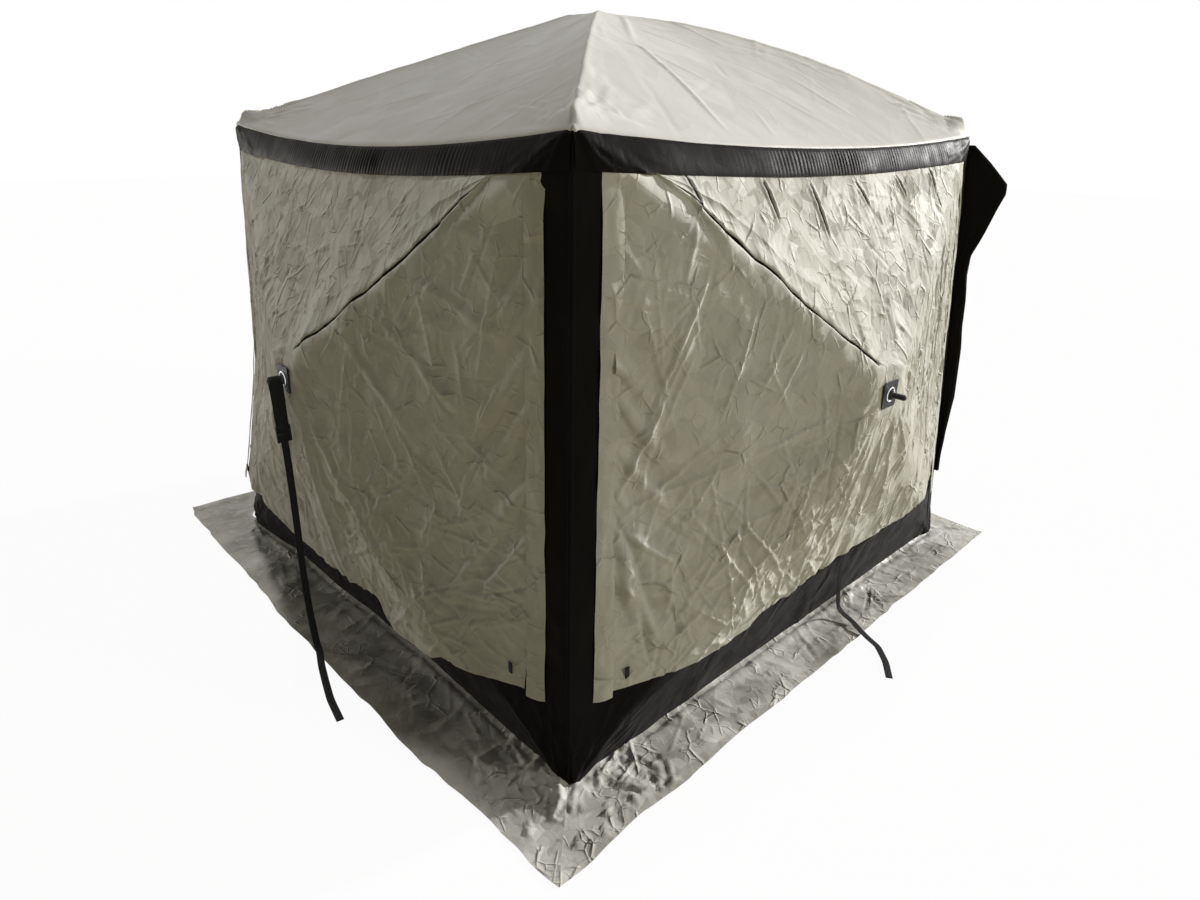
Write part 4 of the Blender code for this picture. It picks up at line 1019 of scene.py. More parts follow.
def on_panel(k, u, z):
    """The settled panel's place for points (u, z) of its pattern, read between its grid points."""
    shape = shapes[k]
    rows, columns = shape.shape[:2]
    s = np.clip(u / (half_width(z) - TUCK), -1, 1)
    low, high = panel_ends(k, s)
    r = unit((z - low) / (high - low)) * (rows - 1)
    c = (s + 1) / 2 * (columns - 1)
    i = np.minimum(r.astype(int), rows - 2)
    j = np.minimum(c.astype(int), columns - 2)
    a = (r - i)[..., None]
    b = (c - j)[..., None]
    low_row = shape[i, j] * (1 - b) + shape[i, j + 1] * b
    high_row = shape[i + 1, j] * (1 - b) + shape[i + 1, j + 1] * b
    return low_row * (1 - a) + high_row * a


def make_top_fold(k):
    """Lay the second layer along its fold line, with a lip below it and a smooth end under the band."""
    line = np.array(FOLD_LINE[k])
    sign = 1.0 if line[0, 0] > 0 else -1.0
    far = [(-sign * share, FOLD_FOOT + (share / 0.80) * 0.555) for share in (0.10, 0.25, 0.45, 0.65, 0.80)]
    line = np.concatenate((line, np.array(far)))
    way = way_along(line)
    hub_way = way[len(FOLD_LINE[k]) - 1]
    columns, upper_rows = LIP_GRID[k]
    a = np.linspace(0, way[-1], columns)
    bu = rounded(np.interp(a, way, line[:, 0]), 6)
    bz = rounded(np.interp(a, way, line[:, 1]), 6)
    bz = bz + 0.0048 * soft(a, a * 0, 0.08, 1600 + k) + 0.0022 * facets(a, a * 0 + 0.3, 0.035, 1605 + k)
    present = unit((hub_way - a) / 0.10) * unit(a / 0.10 + 0.15)
    size = (1.0 + 0.30 * soft(a, a * 0, 0.13, 1610 + k) + 0.12 * soft(a, a * 0, 0.04, 1611 + k)) * present
    size = size * LIP_SIZE[k]
    top_u = np.interp(a, (0, hub_way, way[-1]), (bu[0] + sign * 0.01, 0.1 * sign, -sign * 0.86))
    top_z = eave(k, top_u) - BAND_DEPTH + 0.004
    length = np.maximum(top_z - bz, 0.004)
    knots, rises, painted_shade = np.array(LIP).T
    squeeze = np.minimum(1.0, length / 0.16)
    gape = 1.0 + 1.1 * np.exp(-((a - 0.20) / 0.16) ** 2) + 0.30 * soft(a, a * 0, 0.07, 1612 + k)
    at_lip = np.abs(knots) < LIP_DEPTH
    lip_dist = (knots * at_lip)[:, None] * (gape * squeeze)[None, :]
    lip_dist = lip_dist + (knots * ~at_lip)[:, None] * squeeze[None, :]
    lip_dist = np.maximum.accumulate(lip_dist, axis=0)
    upper = np.linspace(0, 1, upper_rows + 1)[1:, None]
    last = lip_dist[-1][None, :]
    dist = np.concatenate((lip_dist, last + (length[None, :] - last) * upper))
    rise = np.concatenate((rises, rises[-1] * (1 - upper[:, 0]) ** 2 + 0.0006))[:, None] * size[None, :]
    share = unit(dist / length[None, :])
    u = bu[None, :] * (1 - share) + top_u[None, :] * share
    z = bz[None, :] + dist
    fade = unit((1 - share) / 0.10)
    sunk = (1 - present)[None, :] * unit(1 - dist / 0.05)
    lift = (rise + 0.0012) * fade - 0.004 * sunk - 0.0015 * (1 - fade)
    pinch = np.zeros_like(u)
    rng = np.random.default_rng(1620 + k)
    for _ in range(PINCH_COUNT):
        i = rng.integers(10, columns * 2 // 3)
        reach = rng.uniform(0.03, 0.09)
        start = (bu[i], bz[i] + 0.016)
        end = (bu[i] + rng.uniform(-0.3, 0.6) * reach * -sign, bz[i] + reach)
        fold(pinch, u, z, start, end, rng.uniform(0.008, 0.014), rng.uniform(0.001, 0.0035))
    # Painted shade: the groove rows under the lip and the open slits are marked for the near black colour.
    inner = np.zeros_like(u)
    inner[:len(knots)] = painted_shade[:, None] * unit(present * 4)[None, :]
    for start, end, wide in TUCKS.get(k, ()):
        slit(pinch, inner, u, z, start, end, wide * 0.0009, 0.006)
    shape = on_panel(k, u, z)
    shape[..., 2] += (lift + pinch * np.maximum(fade, 0.5)) * np.maximum(round_hub(u, z), 0.15)
    if sign > 0:
        shape, u, z, inner = (grid[:, ::-1] for grid in (shape, u, z, inner))
    sew_sheet(WALLS[k] + "_top_fold", to_world(k, *np.moveaxis(shape, -1, 0)), (u, z), silver,
              k, inner=inner)


for k in shapes:
    make_top_fold(k)

# %% [markdown]
# Down each corner runs a closing strip, a second narrow layer over the edge of the wind panel. It ends a
# little under the hem, and beside it the panel is slit open, so its end is free and curls.
# A small black tab is sewn to the panel at the end of the slit.

# %% Closing strips and tabs
SIDES = {-1: "left", 1: "right"}
PLACKET_END = 0.268
TAB_PLACE = (0.985, 0.348)
TAB_SIZE = (0.016, 0.004, 0.038)


def make_placket(k, sign):
    """A closing strip. It follows the panel below it and comes free at its lower end."""
    across, t = lattice(170, 12, (0, 1))
    z = PLACKET_END + (EAVE_HEIGHT - BAND_DEPTH + 0.002 - PLACKET_END) * t
    u = sign * (half_width(z) - CORNER_STRIP + 0.004 - PLACKET * across)
    z = np.minimum(z, eave(k, u) - BAND_DEPTH + 0.012)
    seed = 700 + 10 * k + sign
    wave = 0.0018 * soft(u * 0, z, 0.09, seed) + 0.0014 * soft(across * 0.2, z, 0.05, seed + 1)
    free = unit((0.52 - z) / 0.25)
    lift = 0.0085 + wave + 0.006 * free * across + 0.003 * free * soft(across * 0.1, z, 0.07, seed + 2)
    lift = lift + 0.0045 * np.sin(across * math.pi) * (0.3 + 0.7 * free)
    lift = lift * (0.30 + 0.70 * unit((1.68 - z) / 0.06)) + hang(k, u, z)
    if sign > 0:
        u, z, lift = (grid[:, ::-1] for grid in (u, z, lift))
    name = WALLS[k] + "_closing_strip_" + SIDES[sign]
    sew_sheet(name, on_wall(k, u, z, lift), (u, z), silver,
              k)


def dress(piece, finish):
    """Give a hard piece its finish, smooth shaded."""
    piece.data.materials.clear()
    piece.data.materials.append(finish.material)
    piece.data.shade_smooth()


def shaped_box(name, size, bevel, finish):
    """A box with rounded edges, lying with its middle at the origin."""
    piece = start_piece(name, bpy.ops.mesh.primitive_cube_add, size=1.0)
    piece.scale = size
    bpy.ops.object.transform_apply(location=False, rotation=False, scale=True)
    rounding = piece.modifiers.new("rounding", "BEVEL")
    rounding.width = bevel
    rounding.segments = 3
    bpy.ops.object.modifier_apply(modifier="rounding")
    dress(piece, finish)
    return piece


def place_mesh(piece, k, spot):
    """Turn a piece built in wall axes (along, out, up) to wall k and move it, all in its mesh."""
    along, out = axes(k)
    turn = Matrix((tuple(along), tuple(out), (0.0, 0.0, 1.0))).transposed().to_4x4()
    piece.data.transform(Matrix.Translation(Vector(spot)) @ turn)
    piece.data.flip_normals()
    piece.data.update()


def make_tab(k, sign):
    """The small tab at the end of a slit, standing on the panel."""
    spot = on_panel(k, np.array([sign * TAB_PLACE[0]]), np.array([TAB_PLACE[1]]))
    spot[..., 2] += TAB_SIZE[1]
    tab = shaped_box(WALLS[k] + "_tab_" + SIDES[sign], TAB_SIZE, 0.0015, webbing)
    place_mesh(tab, k, to_world(k, *np.moveaxis(spot, -1, 0))[0])
    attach(tab, ROOT)
    flatten_with_hub(tab)


for k in (0, 1, 3):
    for sign in (-1, 1):
        make_placket(k, sign)
        make_tab(k, sign)

# %% [markdown]
# The black border is sewn from three kinds of cut: a gathered band under the roof, a strip folded round
# each corner, and a base band that meets the ground. The band has short dense gathers in its
# middle, where elastic draws it in. The base band is pulled to the corner boots in fans of pleats.

# %% Black bands under the roof


def corner_fans(total, u, z, corner, near, far, count, length, width, height, seed, start):
    """Fans of folds from both corners of a wall, between two angles off the level line."""
    for sign in (-1, 1):
        facing = (0, 180)[sign > 0]
        fan(total, u, z, (sign * corner[0], corner[1]), facing + sign * near, facing + sign * far, count,
            length, width, height, seed + sign, start)


ELASTIC_MIDDLE = 0.18
ELASTIC_REACH = 0.62
PLEAT_COUNT = 118


def make_band(k):
    columns = 620
    s, t = lattice(15, columns, (-1, 1))
    u = s * (TOP_HALF + 0.003)
    top = eave(k, u)
    depth = BAND_DEPTH + 0.006 * s ** 4 - 0.006 * (1 - s * s)
    z = top - depth * (1 - t)
    gather = unit(1.15 - np.abs(s - ELASTIC_MIDDLE) / ELASTIC_REACH)
    rng = np.random.default_rng(800 + k)
    pitch = np.cumsum(rng.uniform(0.6, 1.5, columns))
    pitch = pitch / pitch[-1] * 2 * math.pi * PLEAT_COUNT
    pleat = np.sin(pitch)[None, :] * (0.55 + 0.45 * soft(s, t * 0, 0.09, 810 + k))
    body = np.sin(unit(t) * math.pi) ** 0.7
    lift = 0.0065 + 0.0021 * pleat * gather * (0.25 + 0.75 * body)
    lift = lift + 0.0040 * body + 0.0035 * soft(u, z, 0.16, 820 + k) * (1 - 0.6 * gather)
    near_corner = unit((np.abs(s) - 0.80) / 0.2)
    drawn = np.zeros_like(u)
    corner_fans(drawn, u, z, (TOP_HALF, EAVE_HEIGHT - 0.004), 4, 62, 9, 0.30, 0.012, 0.0050, 830 + 3 * k,
                0.01)
    lift = lift + drawn - 0.003 * near_corner
    lift = np.where(t > 0.97, 0.0015, lift)
    points = on_wall(k, u, z, np.maximum(lift, 0.0012))
    sew_sheet(WALLS[k] + "_band_cloth", points, (u, z), black,
              k)


# %% [markdown]
# At the front the foot of the base band is pulled out over the ground towards the far corner. The
# table gives that distance along the wall, and the skirt below follows it.

# %% Base bands
FOOT_OUT = (
    (-1.17, 0.0), (-1.12, 0.06), (-1.05, 0.09), (-0.67, 0.055), (-0.27, 0.037), (0.05, 0.02), (0.39, 0.0),
)


def foot_out(k, u):
    """How far the front wall's foot is pulled out over the ground."""
    return np.interp(u, *np.array(FOOT_OUT).T) if k == 0 else 0.0 * u


BASE_DEPTH = 0.345
CROWDED = 0.86


def make_base_band(k):
    s, t = lattice(44, 300, (-1, 1))
    s = np.sign(s) * np.abs(s) ** CROWDED
    z = 0.002 + BASE_DEPTH * t
    u = (half_width(z) - 0.004) * s
    total = 0.0030 * crumple(u, z, 900 + 20 * k) * unit((half_width(z) - np.abs(u)) / 0.2)
    corner_fans(total, u, z, (BASE_HALF, 0.0), -8, -88, 15, 0.36, 0.014, 0.0075, 910 + 3 * k, 0.012)
    scatter(total, u, z, (-1.0, 0.0, 1.0, 0.34), 40, 0.2, 0.014, 0.0030, 920 + k)
    lift = 0.0008 + np.maximum(total, -0.0005)
    points = on_wall(k, u, z, lift + foot_out(k, u) * (1 - t) ** 0.8)
    sew_sheet(WALLS[k] + "_base_cloth", points, (u, z), black,
              k, WALLS[k] + "_border")


# %% Corner strips
STRIP_HALF = 0.084
SEAM_HEIGHT = 0.0022
STITCH_DEPTH = 0.0009


def make_corner_strip(c):
    columns = 57
    t, z = lattice(200, columns, (-STRIP_HALF, STRIP_HALF), (0.003, EAVE_HEIGHT - 0.012))
    seed = 1000 + 10 * c
    wave = 0.0016 * soft(t, z, 0.05, seed) * unit(np.abs(t) / 0.03)
    wave = wave + 0.0012 * soft(t * 4, z, 0.12, seed + 1)
    seam = SEAM_HEIGHT * np.exp(-(t / 0.0028) ** 2)
    seam = seam - STITCH_DEPTH * np.exp(-((np.abs(t) - 0.008) / 0.002) ** 2)
    lift = 0.0032 + np.maximum(wave, -0.0015) + seam
    pleats = np.zeros_like(t)
    fan(pleats, t, z, (0.0, 0.0), 35, 145, 10, 0.26, 0.010, 0.0050, seed + 2, 0.01)
    lift = lift + pleats
    first = on_wall(c, half_width(z) + np.minimum(t, 0), z, lift)
    second = on_wall((c + 1) % 4, -half_width(z) + np.maximum(t, 0), z, lift)
    points = np.where((t < 0)[..., None], first, second)
    mid = (columns - 1) // 2
    points[:, mid] = (first[:, mid] + second[:, mid]) / 2
    along, out = axes(c)
    points[:, mid] += (lift[:, mid, None] * 0.5) * (along + out)
    for _ in range(2):
        near = slice(mid - 2, mid + 3)
        points[:, near] = (points[:, mid - 3:mid + 2] + points[:, near] * 2 + points[:, mid - 1:mid + 4]) / 4
    sew_sheet(WALLS[c] + "_right_corner_strip", points, (t, z), black)


for k in range(4):
    make_band(k)
    make_base_band(k)
    make_corner_strip(k)

# %% [markdown]
# Behind the wind panels each wall has a screen of fine black mesh, and the back wall shows it bare. The
# doorway is cut out of the back screen, with a tape sewn round the opening.

# %% Mesh screens
DOOR = (
    (-1.049, 0.38), (-0.81, 0.38), (-0.501, 0.693), (-0.501, 1.327), (-0.965, 1.64),
)


def in_doorway(u, z):
    """True where a point (u, z) of the back wall lies inside the doorway."""
    inside = np.ones_like(u, dtype=bool)
    for i in range(1, len(DOOR)):
        (ax, ay), (bx, by) = DOOR[i - 1], DOOR[i]
        inside &= (bx - ax) * (z - ay) - (by - ay) * (u - ax) > 0
    return inside


@contextmanager
def opened(piece):
    """Open a piece's mesh for work on its points and faces, and put it back."""
    shell = bmesh.new()
    shell.from_mesh(piece.data)
    yield shell
    shell.to_mesh(piece.data)
    shell.free()
    piece.data.update()


SCREEN_LOW = 0.335


def cut_doorway(screen):
    """Take the faces inside the doorway out of the back screen."""
    along = Vector(axes(2)[0])
    with opened(screen) as shell:
        gone = []
        for face in shell.faces:
            centre = face.calc_center_median()
            if in_doorway(np.array([centre.dot(along)]), np.array([centre.z]))[0]:
                gone.append(face)
        bmesh.ops.delete(shell, geom=gone, context="FACES")


def make_screen(k):
    """The mesh of a wall, a few millimetres inside the taut cloth."""
    s, t = lattice(112, 168, (-1, 1))
    high = eave(k, s) - BAND_DEPTH - 0.004
    z = SCREEN_LOW + (high - SCREEN_LOW) * t
    u = (half_width(z) - CORNER_STRIP + 0.006) * s
    waves = 0.0015 * crumple(u, z, 1100 + 10 * k)
    points = on_wall(k, u, z, -0.0035 + np.minimum(waves, 0.0015))
    sew_sheet(WALLS[k] + "_screen_mesh", points, (u, z), net,
              k, WALLS[k] + "_screen", trim=cut_doorway if k == 2 else None)


for k in range(4):
    make_screen(k)

# %% Tape round the doorway
TAPE_WIDTH = 0.034
TAPE_STEP = 0.012
steps = []
for (ax, ay), (bx, by) in zip(DOOR, DOOR[1:]):
    count = max(2, int(math.hypot(bx - ax, by - ay) / TAPE_STEP))
    steps += [(ax + (bx - ax) * i / count, ay + (by - ay) * i / count) for i in range(count)]
steps.append(DOOR[-1])
line = rounded(np.array(steps), 4)
ahead = np.gradient(line, axis=0)
ahead /= np.linalg.norm(ahead, axis=1)[:, None]
aside = np.stack((-ahead[:, 1], ahead[:, 0]), -1)
shares = np.linspace(0.5, -0.5, 7)
grid = line[:, None, :] + aside[:, None, :] * (shares[None, :, None] * TAPE_WIDTH)
u, z = grid[..., 0], grid[..., 1]
ridge = np.exp(-(shares / 0.14) ** 2)[None, :] * 0.0016
way = way_along(line)
flat = (np.broadcast_to(shares * TAPE_WIDTH, u.shape), np.broadcast_to(way[:, None], u.shape))
sew_sheet("door_tape", on_wall(2, u, z, 0.0012 + ridge + 0.0008 * soft(u, z, 0.06, 1200)), flat, black,
          2)

# %% [markdown]
# The roof is one skin of four panels. It is highest over the middle hub, rounded over the four bowed poles,
# and its edges sag between the corners. The seams over the poles are raised lines, and the cloth
# is gathered into small folds where it is drawn over the corner boots.

# %% Roof
ROOF_LIP = 1.010
ROOF_LIFT = 0.0035
PANEL_SAG = 0.018
ROOF_SEAM = 0.0038


def ridge_height(share, bow):
    """Height of a roof seam at a share of the way out, and how far along its pole that is."""
    flat = ROOF_FLAT / TOP_HALF
    way = unit((share - flat) / (1.0 - flat))
    return PEAK_HEIGHT + (EAVE_HEIGHT - PEAK_HEIGHT) * way + bow * 4 * way * (1 - way), way


def make_roof():
    gx, gy = lattice(281, 281, (-ROOF_LIP, ROOF_LIP), (-ROOF_LIP, ROOF_LIP))
    raw = np.maximum(np.abs(gx), np.abs(gy))
    share = np.minimum(raw, 1.0)
    over = raw - share
    sags = np.zeros_like(gx)
    bows = np.zeros_like(gx)
    q = np.zeros_like(gx)
    for k in range(4):
        along, out = axes(k)
        reach = gx * out[0] + gy * out[1]
        across = gx * along[0] + gy * along[1]
        mine = reach >= np.abs(across) - 1e-9
        q = np.where(mine, across / np.maximum(raw, 1e-6), q)
        sags = np.where(mine, EAVE_SAG[k], sags)
        bow = ROOF_BOWS[k - 1] + (ROOF_BOWS[k] - ROOF_BOWS[k - 1]) * (q + 1) / 2
        bows = np.where(mine, bow, bows)
    height, way = ridge_height(share, bows)
    belly = 1 - q * q
    height = height - sags * way ** 1.5 * belly - PANEL_SAG * 4 * way * (1 - way) * belly
    x = gx / np.maximum(raw, 1e-6) * share * (TOP_HALF + 0.006)
    y = gy / np.maximum(raw, 1e-6) * share * (TOP_HALF + 0.006)
    out_dir = np.stack((gx, gy), -1)
    out_dir = np.where(np.abs(out_dir) >= raw[..., None] - 1e-9, np.sign(out_dir), 0)
    edge_bulge = bulge(q * TOP_HALF, EAVE_HEIGHT - sags * belly)
    x = x + out_dir[..., 0] * edge_bulge * way ** 2
    y = y + out_dir[..., 1] * edge_bulge * way ** 2
    diagonal = (np.abs(gx) - np.abs(gy)) * TOP_HALF / math.sqrt(2)
    seam = ROOF_SEAM * np.exp(-(diagonal / 0.0065) ** 2) * unit(share / 0.2)
    total = 0.0026 * crumple(x, y, 1300, 0.7)
    total += 0.004 * soft(x, y, 0.42, 1310) * belly
    scatter(total, x, y, (-1.0, -1.0, 1.0, 1.0), 120, 0.34, 0.015, 0.0028, 1320)
    for k in range(4):
        along, out = axes(k)
        corner = (along + out)[:2] * TOP_HALF
        facing = math.degrees(math.atan2(-corner[1], -corner[0]))
        fan(total, x, y, tuple(corner), facing - 36, facing + 36, 20, 0.40, 0.017, 0.0110, 1330 + k, 0.012)
    fold(total, x, y, (0.10, 0.02), (0.52, -0.34), 0.017, 0.0060)
    fold(total, x, y, (0.52, -0.34), (1.02, -0.46), 0.015, 0.0060)
    calm = unit((1.0 - raw) / 0.03)
    height = height + seam + total * (0.4 + 0.6 * calm) + ROOF_LIFT
    height = height - 0.012 * (over / (ROOF_LIP - 1.0))
    height = height + 0.0012 * np.exp(-((raw - 0.985) / 0.006) ** 2)
    roof = sew_sheet("canopy_cloth", np.stack((x, y, height), -1), (x, y), roof_silver,
                     replaced="canopy")
    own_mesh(roof)


make_roof()

# %% [markdown]
# The ground skirt is a flat silver strip along each wall, mitred at the corners. It lies on the ground
# with a bead of slack near the wall, a crisp lattice of bag creases, and an edge that isn't straight.
# Near the front corner the photograph shows the deepest creases, so they are higher there.

# %% Ground skirt
SKIRT_EDGE = {
    0: (
        (-1, 0.272), (-0.8, 0.293), (-0.2, 0.295), (0.2, 0.289), (0.55, 0.27), (0.85, 0.243), (1, 0.23),
    ),
    1: (
        (-1, 0.23), (-0.8, 0.218), (0, 0.205), (0.8, 0.196), (1, 0.19),
    ),
    2: (
        (-1, 0.19), (0, 0.215), (1, 0.22),
    ),
    3: (
        (-1, 0.22), (0, 0.24), (1, 0.272),
    ),
}
BEAD_HEIGHT = 0.012


def make_skirt(k):
    s, t = lattice(44, 300, (-1, 1))
    wobble = 0.007 * soft(s * 1.3, s * 0, 0.20, 1400 + k) + 0.004 * soft(s * 1.3, s * 0, 0.06, 1410 + k)
    wobble = wobble * unit((1 - np.abs(s)) / 0.06)
    outer = BASE_HALF + np.interp(s, *np.array(SKIRT_EDGE[k]).T) + wobble
    foot = BASE_HALF + foot_out(k, s * BASE_HALF)
    reach = outer + (foot - 0.004 - outer) * t
    u = s * reach
    near = np.clip(u * (1.0, -1.0, 0.0, 0.0)[k] - 0.75, 0, 0.35) / 0.35
    total = (0.0028 + 0.0100 * near) * crumple(u, reach, 1420 + 20 * k)
    if k < 2:
        corner = (1.0, -1.0)[k] * 1.28
        box = (min(corner, 0.7 * corner), BASE_HALF, max(corner, 0.7 * corner), 1.40)
        scatter(total, u, reach, box, 80, 0.15, 0.013, 0.0085, 1435 + k)
    scatter(total, u, reach, (-1.4, BASE_HALF, 1.4, BASE_HALF + 0.22), 100, 0.24, 0.013, 0.0034, 1430 + k)
    total += 0.004 * (1 + soft(u, reach, 0.16, 1440 + k))
    bead = np.exp(-((reach - foot - 0.035) / 0.022) ** 2)
    total += BEAD_HEIGHT * bead * (0.7 + 0.5 * soft(u, reach * 0, 0.30, 1450 + k))
    rise = unit((foot + 0.020 - reach) / 0.024)
    total += 0.016 * rise
    hem = unit((outer - reach) / 0.05)
    z = 0.0012 + np.maximum(total, 0.0) * (0.15 + 0.85 * hem)
    mitre = unit((1 - np.abs(s)) * 40)
    z = np.where(mitre < 1, z * mitre + (0.0030 + 0.4 * total * (1 - mitre)) * (1 - mitre), z)
    z = np.maximum(z, 0.0008)
    sew_sheet(WALLS[k] + "_skirt_cloth", to_world(k, u, z, reach), (u, reach), ground_silver,
              replaced=WALLS[k] + "_skirt")


for k in range(4):
    make_skirt(k)

# %% [markdown]
# The door leaf of the back wall is drawn open round its corner. From the front only its gathered edge
# shows: a black wing that stands out at shoulder height, and a rope of cloth under the tie.

# %% Door leaf
LEAF_TIE_HEIGHT = 1.235
LEAF_TOP = 1.765
LEAF_END = 0.330
LEAF_LIFT = 0.0055
LEAF_THICK = 0.016
LEAF_EDGE = (
    (0.33, 0.014), (0.52, 0.018), (0.7, 0.036), (1.06, 0.042), (1.25, 0.038), (1.33, 0.044),
    (1.58, 0.122), (1.62, 0.122), (1.7, 0.07), (1.765, 0.02),
)


def make_leaf():
    t, z = lattice(260, 64, (0, 1), (LEAF_END, LEAF_TOP))
    reach = np.interp(z, *np.array(LEAF_EDGE).T)
    root = np.where(z > LEAF_TIE_HEIGHT, 0.056, 0.030)
    slope = APEX / HUB_HALF
    knots = np.array([0.0, 0.14, 0.46, 0.54, 0.62, 0.86, 1.0])
    corner = half_width(z)
    xs = [-root, 0.002 + 0 * z, reach, reach + 0.004, reach * 0.9, -root * 0.2, -root * 0.9]
    ys = [root * slope + LEAF_LIFT, LEAF_LIFT + 0 * z, reach - LEAF_THICK * 0.5, reach + 0.004,
          reach + LEAF_THICK * 0.6, root * slope + LEAF_LIFT + LEAF_THICK * 1.4, root * slope + LEAF_LIFT]
    x = np.zeros_like(z)
    y = np.zeros_like(z)
    for i in range(len(knots) - 1):
        part = (t >= knots[i]) & (t <= knots[i + 1])
        way = unit((t - knots[i]) / (knots[i + 1] - knots[i]))
        x = np.where(part, xs[i] * (1 - way) + xs[i + 1] * way, x)
        y = np.where(part, ys[i] * (1 - way) + ys[i + 1] * way, y)
    pleat = np.sin(t * 46 + 3.0 * soft(t * 0.5, z, 0.35, 1500))
    tie = np.exp(-((z - LEAF_TIE_HEIGHT) / 0.05) ** 2)
    swell = 0.0032 * pleat * (1 - 0.5 * tie) + 0.006 * soft(t * 0.4, z, 0.13, 1510)
    x = x + swell * 0.7
    y = y + swell * 0.7
    points = np.stack((corner + x, corner + y, z), -1)
    rounded(points.swapaxes(0, 1), 2)
    sew_sheet("door_leaf_cloth", points, (t * 0.4, z), black,
              replaced="door_leaf")


make_leaf()

# %% [markdown]
# Outside each wall the cloth is clamped by a square plate with a bright ring, and a grip stands out of
# its boss. On the front wall a doubled strap hangs on the grip and ends in a ladder buckle.

# %% Hub plates
PLATE_SEAT = 1.3952
PLATE_HALF = 0.044
PLATE_THICK = 0.0030
GRIP_LINE = (
    (0.0, 0.0175), (0.0062, 0.0175), (0.0088, 0.0168), (0.0105, 0.015), (0.0118, 0.0118), (0.014, 0.01),
    (0.0175, 0.0093), (0.02, 0.009), (0.0212, 0.0094), (0.023, 0.0094), (0.0242, 0.009), (0.0262, 0.009),
    (0.0274, 0.0094), (0.0292, 0.0094), (0.0304, 0.009), (0.033, 0.009), (0.0342, 0.0095),
    (0.046, 0.0095), (0.05, 0.0088), (0.0524, 0.0068), (0.0538, 0.0036), (0.0543, 0.0002),
)
RING_RADIUS = 0.0225
RING_THICK = 0.0028


def finish_piece(piece, body, slot, *replaced):
    """Say what a hard piece rides on and what it stands in for. Its slot is not used."""
    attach(piece, body)
    if replaced:
        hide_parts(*replaced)


def weld(piece):
    """Join the points of a wrapped grid that lie on each other."""
    with opened(piece) as shell:
        bmesh.ops.remove_doubles(shell, verts=shell.verts, dist=1e-6)
        bmesh.ops.dissolve_degenerate(shell, edges=shell.edges, dist=1e-7)
        bmesh.ops.recalc_face_normals(shell, faces=shell.faces)


def make_plate(k):
    """A wall's plate, its bright ring and its turned grip, each built at the origin and then seated."""
    seat = tuple(axes(k)[1] * PLATE_SEAT + np.array((0.0, 0.0, HUB_HEIGHT)))
    plate = start_piece(WALLS[k] + "_clamp_plate", bpy.ops.mesh.primitive_cube_add, size=1.0)
    plate.data.transform(Matrix.Diagonal((2 * PLATE_HALF, PLATE_THICK, 2 * PLATE_HALF, 1.0)))
    with opened(plate) as solid:
        upright = [e for e in solid.edges if abs(e.verts[0].co.y - e.verts[1].co.y) > PLATE_THICK / 2]
        bmesh.ops.bevel(solid, geom=upright, offset=0.008, segments=7, affect="EDGES", profile=0.5)
    plate.data.transform(Matrix.Translation((0.0, PLATE_THICK / 2, 0.0)))
    edge = plate.modifiers.new("edge", "BEVEL")
    edge.width = 0.0007
    edge.segments = 2
    bpy.ops.object.modifier_apply(modifier="edge")
    plate.data.materials.clear()
    plate.data.materials.append(moulded.material)
    place_mesh(plate, k, seat)
    finish_piece(plate, WALLS[k] + "_hub", "moulded_black", WALLS[k] + "_hub_plate")

    ring = start_piece(WALLS[k] + "_washer_ring", bpy.ops.mesh.primitive_torus_add, major_radius=RING_RADIUS,
                       minor_radius=RING_THICK, major_segments=72, minor_segments=16)
    ring.data.transform(Matrix.Rotation(math.pi / 2, 4, "X"))
    ring.data.transform(Matrix.Translation((0.0, PLATE_THICK + RING_THICK / 2, 0.0)))
    dress(ring, chrome)
    place_mesh(ring, k, seat)
    finish_piece(ring, WALLS[k] + "_hub", "zip_metal")

    heights, radii = np.array(GRIP_LINE).T
    around = np.linspace(0, 2 * math.pi, 49)
    x = radii[:, None] * np.cos(around)[None, :]
    z = radii[:, None] * np.sin(around)[None, :]
    y = np.broadcast_to(heights[:, None] + PLATE_THICK, x.shape)
    points = np.stack((x, y, z), -1)
    flat = np.stack((np.broadcast_to(around * 0.01, x.shape), y), -1)
    grip = lay_grid(WALLS[k] + "_grip", points, flat, moulded)
    weld(grip)
    place_mesh(grip, k, seat)
    finish_piece(grip, WALLS[k] + "_hub", "moulded_black")


for k in range(4):
    make_plate(k)

# %% [markdown]
# Webbing keeps its width level on its way down, and lies flat where it reaches the ground. Each strap
# is a rounded flat section drawn along its line.

# %% Straps
HUNG_Y = -1.4252
WEB_WIDTH = 0.025
WEB_THICK = 0.0016
LOOP_WIDTH = 0.040
LOOP_THICK = 0.0018
BUCKLE_HEIGHT = 0.842
ROUND_POINTS = 17
LOOP_LINE = (
    (0.0016, 0.816), (0.0022, 0.868), (0.007, 0.905), (0.0085, 0.95), (0.009, 0.995), (0.0128, 1.022),
    (0.012, 1.034), (0.0075, 1.0415), (0.0, 1.044), (-0.0075, 1.0415), (-0.012, 1.034), (-0.0128, 1.022),
    (-0.0075, 0.995), (-0.005, 0.95), (-0.006, 0.905), (-0.0022, 0.868), (-0.0016, 0.816),
)
TAIL_LINE = (
    (0.0, 0.0, 0.825), (0.0, 0.0, 0.76), (-0.002, 0.0, 0.68), (-0.006, 0.0, 0.6), (-0.012, -0.001, 0.48),
    (-0.018, -0.002, 0.36), (-0.018, -0.004, 0.24), (-0.01, -0.006, 0.13), (0.008, -0.009, 0.055),
    (0.034, -0.015, 0.012), (0.085, -0.026, 0.0032), (0.16, -0.053, 0.002), (0.25, -0.079, 0.002),
    (0.35, -0.106, 0.002), (0.466, -0.125, 0.0018),
)
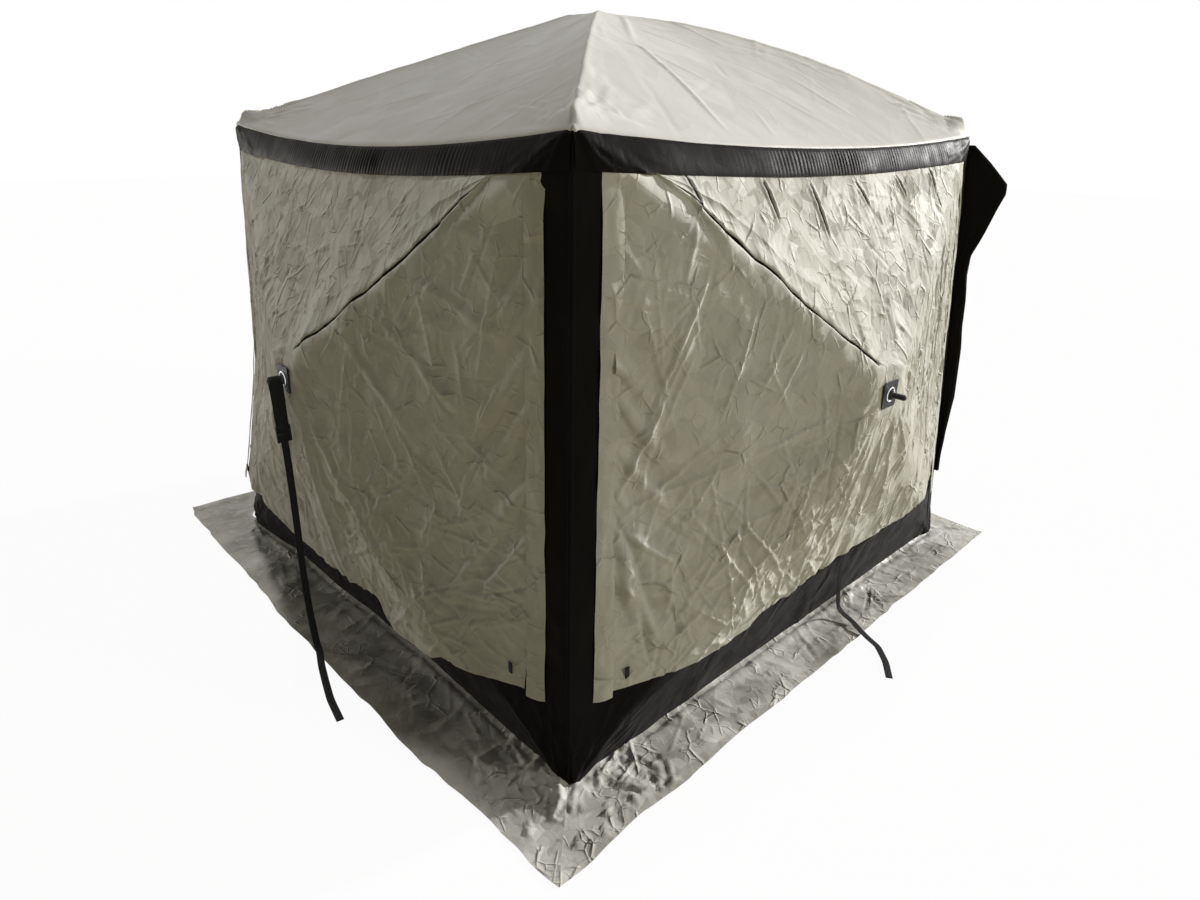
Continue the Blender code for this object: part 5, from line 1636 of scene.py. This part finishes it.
RIGHT_LINE = (
    (1.25, 0.183, 0.286), (1.2445, 0.183, 0.262), (1.2375, 0.186, 0.23), (1.2375, 0.194, 0.16),
    (1.2385, 0.202, 0.09), (1.244, 0.206, 0.035), (1.272, 0.202, 0.02), (1.315, 0.19, 0.019),
    (1.36, 0.168, 0.015), (1.406, 0.154, 0.005), (1.46, 0.137, 0.0022), (1.525, 0.074, 0.002),
    (1.578, 0.0, 0.0018),
)
# The bars of the ladder buckle: (across, up) and size.
BUCKLE_BARS = (
    ((-0.0225, 0.0), (0.005, 0.011, 0.058)), ((0.0225, 0.0), (0.005, 0.011, 0.058)),
    ((0.0, 0.0265), (0.048, 0.010, 0.005)), ((0.0, 0.0), (0.048, 0.011, 0.007)),
    ((0.0, -0.0265), (0.048, 0.009, 0.005)),
)


def even_line(points, step, rounds):
    """Points at even steps along a line, rounded where it turns."""
    line = np.array(points, dtype=float)
    for _ in range(2):
        way = way_along(line)
        at = np.linspace(0, way[-1], int(way[-1] / step) + 1)
        line = rounded(np.stack([np.interp(at, way, column) for column in line.T], -1), rounds)
    return line


def ribbon(name, line, width, thick, finish):
    """A flat strip with rounded edges along a line. Its width stays level."""
    around = np.linspace(0, 2 * math.pi, ROUND_POINTS)
    across = np.sign(np.cos(around)) * np.abs(np.cos(around)) ** 0.45
    upward = np.sign(np.sin(around)) * np.abs(np.sin(around)) ** 0.75
    ahead = np.gradient(line, axis=0)
    ahead /= np.linalg.norm(ahead, axis=1)[:, None]
    side = np.array((0.0, 1.0, 0.0))
    rows = []
    for point, direction in zip(line, ahead):
        side = side - direction * side.dot(direction)
        side[2] = 0.0
        side /= np.linalg.norm(side)
        up = np.cross(side, direction)
        up /= np.linalg.norm(up)
        rows.append(point + side * (width / 2 * across)[:, None] + up * (thick / 2 * upward)[:, None])
    first = np.repeat(line[:1], ROUND_POINTS, axis=0)
    last = np.repeat(line[-1:], ROUND_POINTS, axis=0)
    points = np.array([first, *rows, last])
    way = way_along(line)
    way = np.concatenate((way[:1], way, way[-1:]))
    flat = np.stack((np.broadcast_to(across * WEB_WIDTH / 2, points.shape[:2]),
                     np.broadcast_to(way[:, None], points.shape[:2])), -1)
    strip = lay_grid(name, points, flat, finish)
    weld(strip)
    return strip, way[-1]


def hang_strap(name, replaced, line):
    """A strap laid along its line, in place of a part of the measured model."""
    strap, length = ribbon(name, line, WEB_WIDTH, WEB_THICK, webbing)
    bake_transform(strap)
    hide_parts(replaced)
    print(name, round(float(length), 3), "m")


loop_line = even_line([(x, HUNG_Y, z) for x, z in LOOP_LINE], 0.003, 2)
doubled, _ = ribbon("doubled_strap", loop_line, LOOP_WIDTH, LOOP_THICK, webbing)
finish_piece(doubled, "front_hub", "webbing")

bars = []
for (across, up), size in BUCKLE_BARS:
    bar = shaped_box("buckle_bar", size, 0.0014, moulded)
    bar.data.transform(Matrix.Translation((across, 0.0, up)))
    bars.append(bar)
bpy.ops.object.select_all(action="DESELECT")
for bar in bars:
    bar.select_set(True)
bpy.context.view_layer.objects.active = bars[0]
bpy.ops.object.join()
buckle = bars[0]
buckle.name = "ladder_buckle"
buckle.data.transform(Matrix.Translation((0.0, HUNG_Y, BUCKLE_HEIGHT)) @ Matrix.Rotation(math.pi / 2, 4, "Z"))
finish_piece(buckle, "front_hub", "moulded_black", "front_buckle")

tail_line = even_line([(x, y + HUNG_Y, z) for x, y, z in TAIL_LINE], 0.005, 8)
hang_strap("front_strap_tail", "front_strap", tail_line)
side_line = even_line(RIGHT_LINE, 0.005, 5)
hang_strap("right_strap_webbing", "right_strap", side_line)
